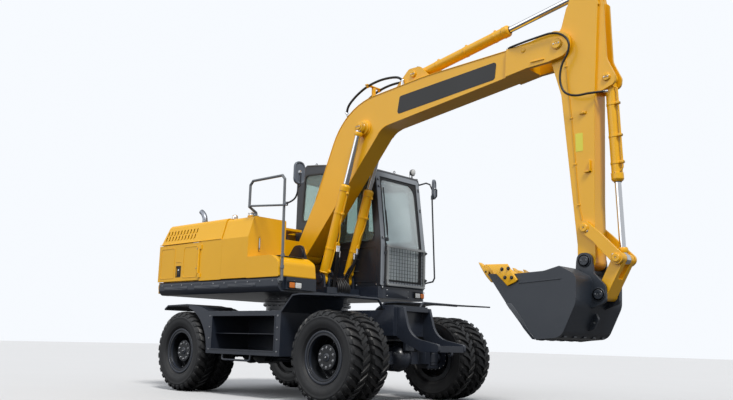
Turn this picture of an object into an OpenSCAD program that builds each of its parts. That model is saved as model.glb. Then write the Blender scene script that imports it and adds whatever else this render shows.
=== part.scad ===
/* [Stance] */
// Distance between the two axles
wheelbase = 2760; // [2700:10:2850]
// Width over the outer tyres
over_tyres = 2546; // [2520:2:2580]
// Slew axis, ahead of the middle of the wheelbase
slew_x = -250; // [-290:10:-210]
// Rearmost point of the counterweight, ahead of the middle of the wheelbase
tail_x = -2190; // [-2210:10:-2180]

/* [Wheels] */
// Tyre diameter over the lugs
tyre_d = 1044; // [1034:2:1050]
// Tyre section width
tyre_w = 272; // [262:2:276]
// Number of lugs round each tyre
lug_count = 30; // [24:1:34]
// Depth of the grooves between the lugs
lug_depth = 24; // [18:1:28]
// Distance between the middles of two twin tyres
twin_pitch = 320; // [316:2:326]
// Diameter of the rim seat
rim_seat_d = 508; // [500:2:512]
// Diameter of the hub drum
hub_d = 270; // [250:2:280]
// How far the hub face stands in from the outer tyre face
hub_inset = 90; // [80:2:100]
// Spindle diameter
spindle_d = 120; // [110:2:124]

/* [Axles] */
// Height and depth of the axle beams
beam_size = 150; // [140:2:156]
// Kingpin, to the side of the centreline
kingpin_y = 700; // [690:2:706]
// Kingpin diameter
kingpin_d = 60; // [50:2:64]
// Radius of the differential housings
diff_r = 165; // [150:1:170]
// Reach of the steering arms behind the kingpins
steer_arm = 200; // [194:1:206]

/* [Chassis] */
// Half width of the main frame
frame_half_w = 320; // [310:2:326]
// Underside of the main frame
frame_low = 740; // [730:2:748]
// Top of the main frame
frame_top = 1080; // [1070:2:1090]
// From the front axle back to the side boxes
box_to_front = 735; // [730:1:750]
// From the rear axle ahead to the side boxes
box_to_rear = 580; // [570:1:590]
// Underside of the side boxes
box_low = 508; // [500:2:516]
// Top of the side boxes
box_top = 1040; // [1030:2:1046]
// Outer face of the side boxes, to the side of the centreline
box_out = 1240; // [1232:1:1248]
// Thickness of box walls and fenders
sheet = 16; // [14:1:18]
// Top of the fenders
fender_top = 1236; // [1228:1:1240]

/* [Upper structure] */
// Underside of the deck
deck_low = 1272; // [1268:1:1276]
// Top of the side beams, where the yellow covers start
beam_top = 1448; // [1444:1:1452]
// Half width over the side beams
upper_half_w = 1220; // [1210:2:1226]
// Front end of the right side beam
deck_front = 545; // [535:5:555]
// Height of the crease along the hood
crease_z = 1975; // [1965:5:1985]
// Top of the hood
hood_top = 2270; // [2260:5:2280]
// Front wall of the tank, ahead of the middle of the wheelbase
tank_front = -70; // [-80:5:-60]
// Joint between tank and engine bay
bay_front = -610; // [-620:5:-600]
// Rear end of the engine bay
bay_rear = -2090; // [-2095:5:-2080]
// Thickness of doors and covers
panel = 35; // [30:1:40]

/* [Cab] */
// Right wall of the cab, to the left of the centreline
cab_right = 310; // [306:1:316]
// Left wall of the cab, to the left of the centreline
cab_left = 1250; // [1244:2:1254]
// Front of the cab, ahead of the middle of the wheelbase
cab_front = 800; // [790:5:805]
// Rear of the cab, ahead of the middle of the wheelbase
cab_rear = -900; // [-905:5:-895]
// Thickness of the cab walls
cab_wall = 45; // [40:1:50]
// Thickness of the window panes
pane = 8; // [6:1:10]

/* [Working arm] */
// Half width of the boom box
boom_half_w = 140; // [136:1:142]
// Half width of the arm
arm_half_w = 118; // [114:1:119]
// Diameter of the main pins
main_pin_d = 80; // [70:2:84]
// Diameter of the linkage pins
link_pin_d = 60; // [54:2:64]
// Middle of the boom cylinders, to the side of the centreline
boom_cyl_y = 225; // [223:1:227]
// Outer diameter of the boom and arm cylinders
cyl_d = 126; // [122:2:128]
// Diameter of their rods
rod_d = 72; // [66:2:76]
// Outer diameter of the bucket cylinder
bucket_cyl_d = 112; // [108:2:116]
// Diameter of its rod
bucket_rod_d = 64; // [58:2:66]
// Half width of the bucket
bucket_half_w = 500; // [480:5:510]
// Thickness of the bucket plates
bucket_plate = 22; // [20:1:26]

/* [Hidden] */
$fn = 64;

// Clearances: a turning or sliding fit, a seat between fixed pieces, and the air beside a moving piece
fit_gap = 0.05;
seat_gap = 0.3;
side_gap = 6;

// Colours
paint_yellow = [0.93, 0.62, 0.08];
paint_grey = [0.20, 0.24, 0.29];
cab_grey = [0.23, 0.26, 0.30];
rubber = [0.07, 0.07, 0.08];
chrome = [0.82, 0.83, 0.85];
glass = [0.55, 0.68, 0.68, 0.45];

// Axles and wheels, worked out from the stance
axle_z = tyre_d / 2;
front_x = wheelbase / 2;
rear_x = -wheelbase / 2;
box_front = front_x - box_to_front;
box_rear = rear_x + box_to_rear;
tyre_out = over_tyres / 2;
outer_tyre_y = tyre_out - tyre_w / 2;
inner_tyre_y = outer_tyre_y - twin_pitch;
twin_mid = (outer_tyre_y + inner_tyre_y) / 2;
hub_face = tyre_out - hub_inset;
spindle_r = spindle_d / 2;

// Pivots of the working arm in side view, [ahead of the middle of the wheelbase, height]
boom_foot = [-270, 1860];
boom_cyl_base = [270, 1496];
boom_cyl_top = [875, 3462];
boom_nose = [3715, 3900];
arm_cyl_base = [1660, 4045];
arm_cyl_top = [4020, 4485];
bucket_pivot = [3965, 1553];
rocker_pivot = [3965, 1885];
rocker_end = [4297, 1565];
link_low = [4108, 1215];
bucket_cyl_top = [4225, 3435];

// The model's middle between the tail and the rocker's end, where its origin lies
rocker_end_r = 78;
centre_x = (tail_x + rocker_end.x + rocker_end_r) / 2;

// Outlines with rounded corners: each row is [along, up, corner radius]
function unit(v) = v / norm(v);
function turn(a) = a > 180 ? a - 360 : a < -180 ? a + 360 : a;
function corner(p, q, s, r, steps) =
    r <= 0 ? [q] :
    let(a = unit(p - q), b = unit(s - q), half = acos(a * b) / 2,
        reach = r / tan(half), c = q + unit(a + b) * r / sin(half),
        from = q + a * reach - c, to = q + b * reach - c,
        start = atan2(from.y, from.x), sweep = turn(atan2(to.y, to.x) - start))
    [for (i = [0:steps]) c + r * [cos(start + sweep * i / steps), sin(start + sweep * i / steps)]];
function spot(rows, i) = let(n = len(rows), k = (i + n) % n) [rows[k][0], rows[k][1]];
function rounded(rows, steps = 6) = [
    for (i = [0:len(rows) - 1])
        each corner(spot(rows, i - 1), spot(rows, i), spot(rows, i + 1), rows[i][2], steps)
];
function heading(from, to) = atan2(to.y - from.y, to.x - from.x);
function moved(at, along, up) = [at.x + along, at.y + up];

module place() translate([-centre_x, 0, 0]) children();
module both_sides() {
    children();
    mirror([0, 1, 0]) children();
}
module side_plate(outline, y0, y1)
    translate([0, y1, 0]) rotate([90, 0, 0]) linear_extrude(y1 - y0) polygon(outline);
module cross_plate(outline, x0, x1)
    translate([x0, 0, 0]) rotate([90, 0, 90]) linear_extrude(x1 - x0) polygon(outline);
module plan_plate(outline, z0, z1)
    translate([0, 0, z0]) linear_extrude(z1 - z0) polygon(outline);
module block(x0, x1, y0, y1, z0, z1)
    translate([x0, y0, z0]) cube([x1 - x0, y1 - y0, z1 - z0]);
module cross_pin(at, r, y0, y1)
    translate([at.x, y0, at.y]) rotate([-90, 0, 0]) cylinder(h = y1 - y0, r = r);
module long_pin(y, z, r, x0, x1)
    translate([x0, y, z]) rotate([0, 90, 0]) cylinder(h = x1 - x0, r = r);
module upright(x, y, r, z0, z1)
    translate([x, y, z0]) cylinder(h = z1 - z0, r = r);
module along(from, to)
    translate([from.x, 0, from.y]) rotate([0, -heading(from, to), 0]) children();
module tube_run(points, r) {
    for (i = [0:len(points) - 2]) {
        step = points[i + 1] - points[i];
        translate(points[i])
            rotate([0, acos(step.z / norm(step)), atan2(step.y, step.x)])
                cylinder(h = norm(step), r = r);
    }
    for (i = [1:len(points) - 2]) translate(points[i]) sphere(r = r + 0.6);
}

// Wheels: the section rows are [radius, across], on the left side of the machine
tyre_r = tyre_d / 2;
bead_r = rim_seat_d / 2 + seat_gap;
flange_r = 293;
rim_half_w = 98;
tread_r = tyre_r - lug_depth;
module tyre_section() {
    half = [
        [bead_r, 88], [flange_r + 4, 88], [flange_r + 10, 106], [380, tyre_w / 2],
        [440, tyre_w / 2 - 3], [tread_r, tyre_w / 2 - 28]
    ];
    polygon(concat(half, [for (i = [len(half) - 1:-1:0]) [half[i].x, -half[i].y]]));
}
// Ring of lugs, with the middle of one lug's face on the ground
lug_pitch = 360 / lug_count;
lug_face = 0.25 * lug_pitch;
lug_foot = 0.30 * lug_pitch;
function tread_outline() = [
    for (i = [0:lug_count - 1], corner = [[tread_r - 10, -lug_foot], [tyre_r / cos(lug_face), -lug_face],
                                          [tyre_r / cos(lug_face), lug_face], [tread_r - 10, lug_foot]])
        corner[0] * [cos(90 + i * lug_pitch + corner[1]), sin(90 + i * lug_pitch + corner[1])]
];
lug_half_w = tyre_w / 2 - 22;
module lugs()
    difference() {
        translate([0, 0, -lug_half_w]) linear_extrude(2 * lug_half_w) polygon(tread_outline());
        cylinder(h = tyre_w, r = tread_r - 14, center = true);
    }
module tyres(x)
    color(rubber) place()
        for (y = [outer_tyre_y, inner_tyre_y])
            translate([x, y, axle_z]) rotate([-90, 0, 0]) {
                rotate_extrude($fn = 60) tyre_section();
                lugs();
            }

hub_back = 872;
spindle_tip = 1045;
module rims(x)
    color(paint_grey) place() translate([x, 0, axle_z]) rotate([-90, 0, 0]) rotate_extrude() {
        for (y = [outer_tyre_y, inner_tyre_y]) {
            translate([rim_seat_d / 2 - 14, y - rim_half_w]) square([14, 2 * rim_half_w]);
            for (t = [y - rim_half_w, y + rim_half_w - 8])
                translate([rim_seat_d / 2 - 14, t]) square([flange_r - rim_seat_d / 2 + 14, 8]);
        }
        // band and disc between the twin rims
        translate([rim_seat_d / 2 - 30, inner_tyre_y + rim_half_w - 20])
            square([20, twin_pitch - 2 * rim_half_w + 40]);
        translate([hub_d / 2 - 1, twin_mid - 12]) square([rim_seat_d / 2 - hub_d / 2 - 9, 24]);
        translate([hub_d / 2 - 1, twin_mid + 12]) square([36, 20]);
        // drum, bored for the spindle
        translate([spindle_r + fit_gap, hub_back])
            square([hub_d / 2 - spindle_r - fit_gap, hub_face - hub_back]);
        translate([0, spindle_tip + 1]) square([hub_d / 2, hub_face - spindle_tip - 1]);
        translate([0, hub_face - 1]) square([24, 13]);
    }

// Axles and knuckles
brake_r = 125;
yoke_half_h = 130;
yoke_plate = 34;
module spindle(x, y0) {
    translate([x, y0, axle_z]) rotate([-90, 0, 0]) cylinder(h = spindle_tip - y0, r = spindle_r);
    translate([x, 812, axle_z]) rotate([-90, 0, 0]) cylinder(h = hub_back - 818, r = brake_r);
}
pivot_pin_r = 40;
pinion_x = front_x - 145;
pivot_z = 680;
module front_axle()
    color(paint_grey) place() {
        block(front_x - beam_size / 2, front_x + beam_size / 2, -560, 560,
              axle_z - beam_size / 2, axle_z + beam_size / 2);
        translate([front_x + 30, 0, axle_z]) sphere(r = diff_r - 3);
        long_pin(0, axle_z, diff_r, front_x - 90, front_x + 30);
        long_pin(0, shaft_z, 50, pinion_x, front_x - 60);
        block(front_x - 60, front_x + 60, -70, 70, axle_z, pivot_z);
        long_pin(0, pivot_z, pivot_pin_r, front_x - 160, front_x + 215);
        both_sides() {
            block(front_x - 75, front_x + 75, 535, 562, axle_z - yoke_half_h, axle_z + yoke_half_h);
            for (z = [axle_z - yoke_half_h, axle_z + yoke_half_h - yoke_plate]) {
                block(front_x - 70, front_x + 70, 560, kingpin_y, z, z + yoke_plate);
                upright(front_x, kingpin_y, 70, z, z + yoke_plate);
            }
            upright(front_x, kingpin_y, kingpin_d / 2, axle_z - yoke_half_h - 12, axle_z + yoke_half_h + 12);
            // bracket of the steering cylinder
            block(front_x - steer_arm + 30, front_x - 60, 130, 170, axle_z - 40, axle_z + 40);
        }
        difference() {
            translate([front_x - steer_arm, -260, axle_z]) rotate([-90, 0, 0]) cylinder(h = 520, r = 46);
            translate([front_x - steer_arm, -270, axle_z]) rotate([-90, 0, 0])
                cylinder(h = 540, r = steer_rod_r + fit_gap);
        }
    }
steer_rod_r = 22;
steer_eye_y = kingpin_y - 80;
module steering_rod()
    color(chrome) place() {
        translate([front_x - steer_arm, -steer_eye_y, axle_z]) rotate([-90, 0, 0])
            cylinder(h = 2 * steer_eye_y, r = steer_rod_r);
        both_sides() upright(front_x - steer_arm, steer_eye_y, 36, axle_z - 24, axle_z + 30);
    }
knuckle_half_h = yoke_half_h - yoke_plate - side_gap;
module knuckle()
    color(paint_grey) place() difference() {
        union() {
            upright(front_x, kingpin_y, 70, axle_z - knuckle_half_h, axle_z + knuckle_half_h);
            spindle(front_x, kingpin_y);
            // steering arm, under the rod's eye
            plan_plate(rounded([[front_x + 40, kingpin_y - 44, 0], [front_x + 40, kingpin_y + 30, 0],
                                [front_x - 60, kingpin_y + 30, 10],
                                [front_x - steer_arm - 34, steer_eye_y + 34, 24],
                                [front_x - steer_arm - 34, steer_eye_y - 30, 24]]),
                       axle_z - 62, axle_z - 30);
        }
        upright(front_x, kingpin_y, kingpin_d / 2 + fit_gap, axle_z - yoke_half_h, axle_z + yoke_half_h);
    }
module rear_axle()
    color(paint_grey) place() {
        block(rear_x - beam_size / 2, rear_x + beam_size / 2, -kingpin_y, kingpin_y,
              axle_z - beam_size / 2, axle_z + beam_size / 2);
        translate([rear_x, 0, axle_z]) sphere(r = diff_r);
        both_sides() {
            spindle(rear_x, kingpin_y - 1);
            block(rear_x - 110, rear_x + 110, 200, 300, axle_z + beam_size / 2 - 10, frame_low);
        }
    }
// Gearbox ahead of the rear axle and the shaft to the front axle
shaft_z = axle_z - 94;
case_x = rear_x + diff_r + 6;
module transmission()
    color(paint_grey) place() {
        side_plate(rounded([[case_x, 640, 20], [case_x, 420, 20], [case_x + 120, 360, 40],
                            [case_x + 260, 400, 40], [case_x + 280, 620, 30], [case_x + 200, 690, 30]]),
                   -120, 200);
        long_pin(0, shaft_z, 50, case_x + 255, case_x + 320);
        long_pin(0, shaft_z, 32, case_x + 300, pinion_x - 40);
        long_pin(0, shaft_z, 42, pinion_x - 60, pinion_x - seat_gap);
    }

// Chassis
frame_tail = rear_x - 410;
block_rear = front_x + 45;
block_front = front_x + 220;
bracket_out = 262;
bracket_in = 222;
bar_front = front_x + 842;
pedestal_r = 560;
pedestal_top = deck_low - 82;
tow_hole_r = 22;
rear_lug_x = frame_tail - 170;
module chassis()
    color(paint_grey) place() difference() {
        union() {
            side_plate([[frame_tail, frame_low + 60], [frame_tail + 90, frame_low], [block_rear, frame_low],
                        [block_rear, frame_top], [frame_tail + 90, frame_top], [frame_tail, frame_top - 60]],
                       -frame_half_w, frame_half_w);
            upright(slew_x, 0, pedestal_r, frame_top - 1, pedestal_top);
            block(block_rear - 1, block_front, -frame_half_w, frame_half_w, 780, 1140);
            // curved plates of the front bracket, and the bars between them
            both_sides() side_plate(bracket_outline(), bracket_in, bracket_out);
            block(block_front - 1, block_front + 100, -bracket_in - 1, bracket_in + 1, 1070, 1112);
            block(bar_front - 60, bar_front - 4, -bracket_in - 1, bracket_in + 1, 606, 678);
            // front towing eye under the bar
            side_plate(rounded([[bar_front - 60, 640, 0], [bar_front - 60, 560, 24],
                                [bar_front - 4, 560, 24], [bar_front - 4, 640, 0]]), -20, 20);
            // lugs of the front axle's pivot
            for (x = [front_x - 150, front_x + 170])
                block(x, x + 40, -80, 80, pivot_z - 70, 781);
            // rear towing jaw
            for (z = [800, 890]) plan_plate(rounded([[frame_tail + 10, -110, 0], [frame_tail + 10, 110, 0],
                                                     [rear_lug_x - 50, 60, 40], [rear_lug_x - 50, -60, 40]]),
                                            z, z + 34);
        }
        long_pin(0, pivot_z, pivot_pin_r + seat_gap, front_x - 160, front_x + 216);
        cross_pin([bar_front - 32, 585], 14, -30, 30);
        upright(rear_lug_x, 0, tow_hole_r, 790, 930);
    }
function bracket_outline() = rounded([
    [block_front - 1, 1118, 0], [block_front + 100, 1118, 12], [block_front + 200, 770, 260],
    [bar_front, 690, 30], [bar_front, 606, 24], [bar_front - 262, 606, 160], [block_front + 80, 720, 160],
    [block_front - 1, 780, 0]
]);

// Side boxes with the fenders, steps and storage on each side
box_in = frame_half_w;
rail_h = 60;
post_w = 105;
arch_r = tyre_r + 60;
fender_end = front_x + 525;
module side_boxes()
    color(paint_grey) place() both_sides() difference() {
        union() {
            block(box_rear, box_front, box_in, box_out, box_low, box_top);
            // rear fender and the web beside the tyre
            side_plate(rear_fender_outline(), inner_tyre_y - tyre_w / 2, box_out);
            side_plate(rear_web_outline(), box_out - sheet, box_out);
            // front fender
            intersection() {
                side_plate(front_fender_outline(), box_in, box_out);
                plan_plate([[box_front - 40, box_in], [box_front + 105, box_in], [fender_end, box_out - 4],
                            [fender_end, box_out], [box_front - 40, box_out]], 900, 1300);
            }
        }
        // storage, open to the side
        block(box_rear + post_w, box_front - post_w, 640, box_out + 1, box_low + rail_h, box_top - rail_h);
        // pipe space, open below
        block(box_rear + sheet, box_front - sheet, box_in + sheet, 640 - sheet, box_low - 1, box_top - sheet);
    }
function rear_fender_outline() = [
    [box_rear + 20, box_top - sheet], [box_rear + 20, box_top], [rear_x + 420, 1096], [rear_x + 90, 1142],
    [rear_x - 370, 1132], [rear_x - 450, 1082], [rear_x - 444, 1064], [rear_x - 364, 1114],
    [rear_x + 90, 1124], [rear_x + 420, 1078]
];
function rear_web_outline() = concat(
    [[box_rear + 1, box_low], [box_rear + 1, box_top], [rear_x + 420, 1090], [rear_x + 140, 1130]],
    [for (a = [76:-7.6:0]) [rear_x + arch_r * cos(a), axle_z + arch_r * sin(a)]]
);
function front_fender_outline() = [
    [box_front - 30, box_top - sheet], [box_front - 30, box_top], [box_front, box_top],
    [front_x - 550, fender_top - 10], [front_x - 420, fender_top], [fender_end, fender_top - 44],
    [fender_end, fender_top - 60], [front_x - 420, fender_top - sheet], [front_x - 542, fender_top - 28],
    [box_front + 8, box_top - sheet]
];
// Upper frame with the boom's bracket
ring_r = 550;
foot_half_w = 158;
cheek_in = foot_half_w + 4;
beam_in_y = upper_half_w - 160;
hood_half_w = upper_half_w - 80;
cheek_out = 192;
lug_in = 254;
lug_out = 284;
lug_r = 80;
module upper_frame()
    color(paint_grey) place() difference() {
        union() {
            upright(slew_x, 0, ring_r, pedestal_top + seat_gap, deck_low + 1);
            plan_plate([[-2000, -beam_in_y - 40], [deck_front - 20, -beam_in_y - 40],
                        [deck_front - 20, -560], [480, -300],
                        [480, 290], [cab_front - 20, cab_right], [cab_front - 20, cab_left - 20],
                        [-2000, beam_in_y + 90]], deck_low, deck_low + 30);
            block(-1860, 440, -300, 296, deck_low + 29, beam_top - 60);
            // side beams with a round outer face
            long_beam(-1, -2040, deck_front);
            long_beam(1, -2040, cab_rear - 8);
            // skirt round the foot of the cab
            skirt();
            both_sides() {
                side_plate(cheek_outline(), cheek_in, cheek_out);
                side_plate(lug_outline(), lug_in, lug_out);
                cross_pin(boom_foot, 105, cheek_out - 1, cheek_out + 12);
                cross_pin(boom_cyl_base, 52, lug_out - 1, lug_out + 10);
            }
            cross_pin(boom_foot, main_pin_d / 2, -cheek_out, cheek_out);
            cross_pin(boom_cyl_base, main_pin_d / 2, -lug_out, lug_out);
            // lamp shelf under the front box
            block(300, 592, -beam_in_y - 70, -640, deck_low + 29, beam_top);
        }
        // lifting hole in the tail of the deck
        upright(-1960, 0, 30, deck_low - 1, deck_low + 31);
    }
function beam_section() = rounded([
    [beam_in_y, deck_low, 0], [beam_in_y + 110, deck_low, 40], [upper_half_w, deck_low + 50, 50],
    [upper_half_w, beam_top - 30, 24], [upper_half_w - 20, beam_top, 6], [beam_in_y, beam_top, 0]
]);
module long_beam(side, x0, x1)
    cross_plate([for (p = beam_section()) [side * p.x, p.y]], x0, x1);
module skirt()
    difference() {
        plan_plate(rounded([[cab_rear, cab_right, 10], [cab_front - 10, cab_right, 30],
                            [cab_front + 6, cab_right + 60, 60], [cab_front + 6, cab_left - 60, 60],
                            [cab_front - 10, cab_left, 30], [cab_rear, cab_left, 10]]),
                   deck_low + 1, cab_floor - seat_gap);
        plan_plate([[cab_rear + 30, cab_right + 40], [cab_front - 80, cab_right + 40],
                    [cab_front - 80, cab_left - 40], [cab_rear + 30, cab_left - 40]],
                   deck_low + 30, cab_floor);
    }
function cheek_outline() = rounded([
    [-900, deck_low + 29, 0], [-860, 1440, 40], [-480, 1830, 60], [-350, 1985, 90], [-190, 1985, 90],
    [-120, 1800, 60], [150, 1500, 40], [210, 1562, 20], [350, 1576, 70], [352, deck_low + 29, 0]
]);
function lug_outline() = rounded([
    [170, deck_low + 29, 0], [190, 1576, 74], [350, 1576, 74], [370, deck_low + 29, 0]
]);

module counterweight()
    color(paint_yellow) place() {
        plan_plate(mirrored([[-1870, -beam_in_y + 10, 0], [-2042, -beam_in_y + 10, 0],
                             [-2042, -upper_half_w + 25, 0], [-2100, -upper_half_w + 25, 40],
                             [tail_x, -beam_in_y, 160]]), deck_low + 30 + seat_gap, beam_top + side_gap);
        plan_plate(mirrored([[-1870, -beam_in_y - 90, 0], [-2060, -beam_in_y - 90, 40],
                             [tail_x + 50, -beam_in_y + 10, 120]]), beam_top + side_gap - 1, bonnet_low - 16);
        // hinge pins of the left door
        door_pins(cooler_hinge_x, bay_rear - 24);
        for (z = pin_z) block(bay_rear - 24, bay_rear - side_gap, beam_in_y, upper_half_w + 14, z, z + pin_h);
        // hinge plates of the bonnet
        both_sides() for (y = [442, 526])
            side_plate([[-2130, bonnet_low - 17], [-2074, bonnet_low - 17], [-2022, 2150], [-2020, 2206],
                        [-2060, 2206], [-2130, 2040]], y, y + 32);
    }

// Outline that is the same on both sides, from its rows on the right
function mirrored(rows) = rounded(concat(rows,
    [for (i = [len(rows) - 1:-1:0]) [rows[i][0], -rows[i][1], rows[i][2]]]));

// Engine bay: the fixed panels that carry doors and bonnet
door_front = -1095;
door_hinge_y = upper_half_w + 8;
engine_hinge_x = door_front - 14;
cooler_hinge_x = bay_rear + 14;
pin_h = 56;
pin_z = [beam_top + 100 - seat_gap - pin_h, crease_z - 100 + seat_gap];
module door_pins(hinge_x, strap_x)
    for (z = pin_z) {
        upright(hinge_x, door_hinge_y, 7.5, z, z + pin_h);
        block(min(hinge_x, strap_x), max(hinge_x, strap_x), upper_half_w + 1, upper_half_w + 14,
              z, z + pin_h);
    }
inner_face = upper_half_w - panel;
bonnet_low = crease_z + 4;
bulkhead_split = 1700;
module engine_bay()
    color(paint_yellow) place() {
        // fixed right panel between door and tank
        block(door_front + side_gap, bay_front - 1, -upper_half_w, -inner_face, beam_top + seat_gap,
              bonnet_low - seat_gap);
        // fixed left panel behind the cab
        block(door_front + side_gap, cab_rear - 12, inner_face, upper_half_w, beam_top + seat_gap,
              bonnet_low - seat_gap);
        // bulkhead in front of the engine
        block(bay_front - 40, bay_front - 1, -inner_face - 1, 250, bulkhead_split, crease_z);
        block(bay_front - 40, bay_front - 1, -inner_face + 60, 250, crease_z - 1, crease_z + 120);
        block(bay_front - 40, bay_front - 1, -inner_face - 1, 1 - beam_in_y,
              beam_top + seat_gap, bulkhead_split + 1);
        // lower parts between the side beam, the two cheeks and the cab
        for (span = [[0.5 - beam_in_y, -cheek_out - side_gap], [side_gap - cheek_in, cheek_in - side_gap],
                     [cheek_out + side_gap, 250]])
            block(bay_front - 40, bay_front - 1, span[0], span[1],
                  beam_top - 60 + seat_gap, bulkhead_split + 1);
        block(cab_rear - 50, cab_rear - 12, 200, inner_face + 1, beam_top + 6, crease_z);
        block(cab_rear - 50, cab_rear - 12, 200, inner_face - 15, crease_z - 1, crease_z + 120);
        block(cab_rear - 50, bay_front - 1, 200, 251, beam_top - 60 + seat_gap, crease_z + 120);
        // sills that the doors close on
        both_sides() {
            block(-1860, cab_rear - 12, beam_in_y, inner_face - 12, beam_top + seat_gap, beam_top + 60);
            block(-1860, door_front + 7, beam_in_y, inner_face - 12, crease_z - 50, crease_z - 6);
            block(door_front + side_gap, door_front + 60, beam_in_y, inner_face + 1,
                  beam_top + 20, crease_z - 6);
            block(-1861, -1800, beam_in_y, inner_face - 12, beam_top + 40, crease_z - 20);
        }
        // hinge pins of the right door
        mirror([0, 1, 0]) {
            door_pins(engine_hinge_x, door_front + 40);
            for (z = pin_z)
                block(door_front + side_gap, door_front + 40, upper_half_w - 1, upper_half_w + 2,
                      z, z + pin_h);
        }
    }
module engine()
    color([0.35, 0.36, 0.38]) place() {
        block(-1700, -970, -420, 400, beam_top - 60 + seat_gap, 2080);
        block(-1560, -1200, -760, -400, 1700, 2000);
    }
module side_door(hinge_x, latch_x)
    difference() {
        union() {
            block(bay_rear, door_front, inner_face, upper_half_w, beam_top + 12, crease_z - 6);
            upright(hinge_x, door_hinge_y, 14, beam_top + 100, crease_z - 100);
        }
        // recess of the latch
        block(latch_x, latch_x + 110, upper_half_w - 12, upper_half_w + 1, 1522, 1662);
    }
module engine_door() color(paint_yellow) place() mirror([0, 1, 0]) side_door(engine_hinge_x, -1644);
module cooler_door() color(paint_yellow) place() side_door(cooler_hinge_x, -1400);

// Bonnet: a shell whose cross section rows are [across, up, corner radius]
function hood_section(grow) = rounded([
    [-upper_half_w + grow, bonnet_low, 0], [-hood_half_w + grow, hood_top - grow, 60],
    [hood_half_w - grow, hood_top - grow, 60], [upper_half_w - grow, bonnet_low, 0]
]);
bonnet_hinge = [-2040, 2190];
// louvre rows: [underside, top, first one's middle, number]
louvre_rows = [[2040, 2100, -1972, 10], [2118, 2180, -1955, 10]];
louvre_pitch = 77;
louvre_w = 30;
louvre_depth = 14;
hood_lean = atan2(upper_half_w - hood_half_w, hood_top - bonnet_low);
module louvres()
    for (row = louvre_rows, i = [0:row[3] - 1]) {
        middle = (row[0] + row[1]) / 2;
        side_y = upper_half_w - (middle - bonnet_low) * tan(hood_lean);
        translate([row[2] + i * louvre_pitch, side_y, middle]) rotate([hood_lean, 0, 0])
            cube([louvre_w, 2 * louvre_depth, row[1] - row[0]], center = true);
    }
module bonnet() {
    color(paint_yellow) place() difference() {
        cross_plate(hood_section(0), bay_rear + 30, bay_front - 25);
        cross_plate(concat([[-inner_face + 8, crease_z + 3]], hood_section(panel),
                           [[inner_face - 8, crease_z + 3]]), bay_rear + 30 + panel, bay_front - 20);
        // clear of the cab's rear wall
        block(cab_rear - 60, 0, 190, 1300, crease_z, 2400);
        both_sides() louvres();
        // sloped rear end
        side_plate([[bay_rear, crease_z - 1], [bay_rear + 30, crease_z - 1], [-1960, hood_top + 1],
                    [bay_rear, hood_top + 1]], -1300, 1300);
    }
    // hinge eyes on the rear slope
    color(paint_yellow) place() both_sides() {
        cross_pin(bonnet_hinge, 16, 474 + seat_gap, 526 - seat_gap);
        side_plate([moved(bonnet_hinge, 0, -12), moved(bonnet_hinge, 70, -12), moved(bonnet_hinge, 70, 12),
                    moved(bonnet_hinge, 0, 12)], 480, 520);
    }
}
exhaust_y = -hood_half_w + 180;
module exhaust()
    color([0.45, 0.48, 0.52]) place()
        tube_run([[-1400, exhaust_y, hood_top + seat_gap], [-1400, exhaust_y, hood_top + 90],
                  [-1500, exhaust_y, hood_top + 190]], 36);

module tank()
    color(paint_yellow) place() {
        cross_plate(concat([[-600, beam_top - 61], [-beam_in_y + 10, beam_top - 61],
                            [-beam_in_y + 10, beam_top + 6], [-upper_half_w, beam_top + 6]],
                           rounded([[-upper_half_w, crease_z, 0], [-hood_half_w, hood_top - 20, 60],
                                    [-600, hood_top - 20, 20], [-600, beam_top - 20, 0]])),
                    bay_front, tank_front);
        upright(-540, -hood_half_w + 50, 34, hood_top - 21, hood_top + 30);
        upright(-230, -hood_half_w + 100, 66, hood_top - 21, hood_top + 6);
        upright(-230, -hood_half_w + 100, 50, hood_top + 5, hood_top + 46);
    }
module front_box()
    color(paint_yellow) place()
        side_plate(rounded([[tank_front + seat_gap, beam_top + seat_gap, 0],
                            [deck_front + 6, beam_top + seat_gap, 20], [deck_front - 20, 1640, 90],
                            [390, 1716, 120], [tank_front + seat_gap, 1716, 0]]), -upper_half_w, -610);

// Cab: outlines in side view
cab_floor = 1430;
function cab_profile(d) = rounded([
    [cab_rear + d, cab_floor + d, 20], [cab_front - d, cab_floor + d, 30], [cab_front - d, 2010, 200],
    [660 - d, 3045 - d, 60], [-300, 3215 - d, 400], [-720, 3262 - d, 60], [cab_rear + d, 3150 - d, 60]
]);
function windshield_y() = [cab_right + 80, cab_left - 80];
module cab_shell() {
    color(cab_grey) place() difference() {
        side_plate(cab_profile(0), cab_right, cab_left);
        side_plate(cab_profile(cab_wall), cab_right + cab_wall, cab_left - cab_wall);
        // windscreen
        block(500, cab_front + 10, windshield_y()[0], windshield_y()[1], 1500, 2940);
        // right windows
        side_plate(right_rear_window(0), cab_right - 1, cab_right + cab_wall + 1);
        side_plate(right_front_window(0), cab_right - 1, cab_right + cab_wall + 1);
        // left quarter window and door opening
        side_plate(quarter_window(0), cab_left - cab_wall - 1, cab_left + 1);
        side_plate(door_outline(-side_gap), cab_left - cab_wall - 1, cab_left + 1);
        // rear window
        block(cab_rear - 1, cab_rear + cab_wall + 1, cab_right + 110, cab_left - 110, 2340, 3040);
    }
    // hinge posts of the door
    color(cab_grey) place() for (z = [1700, 2780]) {
        upright(door_hinge.x, door_hinge.y, 16, z - 70, z - seat_gap);
        block(door_hinge.x - 12, door_hinge.x + 4, cab_left - 1, door_hinge.y, z - 66, z - side_gap - 4);
    }
    // hinge posts of the front guard
    color(cab_grey) place() for (z = guard_hinges) {
        upright(guard_hinge.x, guard_hinge.y, 13, z - 40, z - seat_gap);
        block(cab_front - 1, guard_hinge.x, guard_hinge.y - 8, guard_hinge.y + 8, z - 36, z - 4);
    }
}
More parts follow.
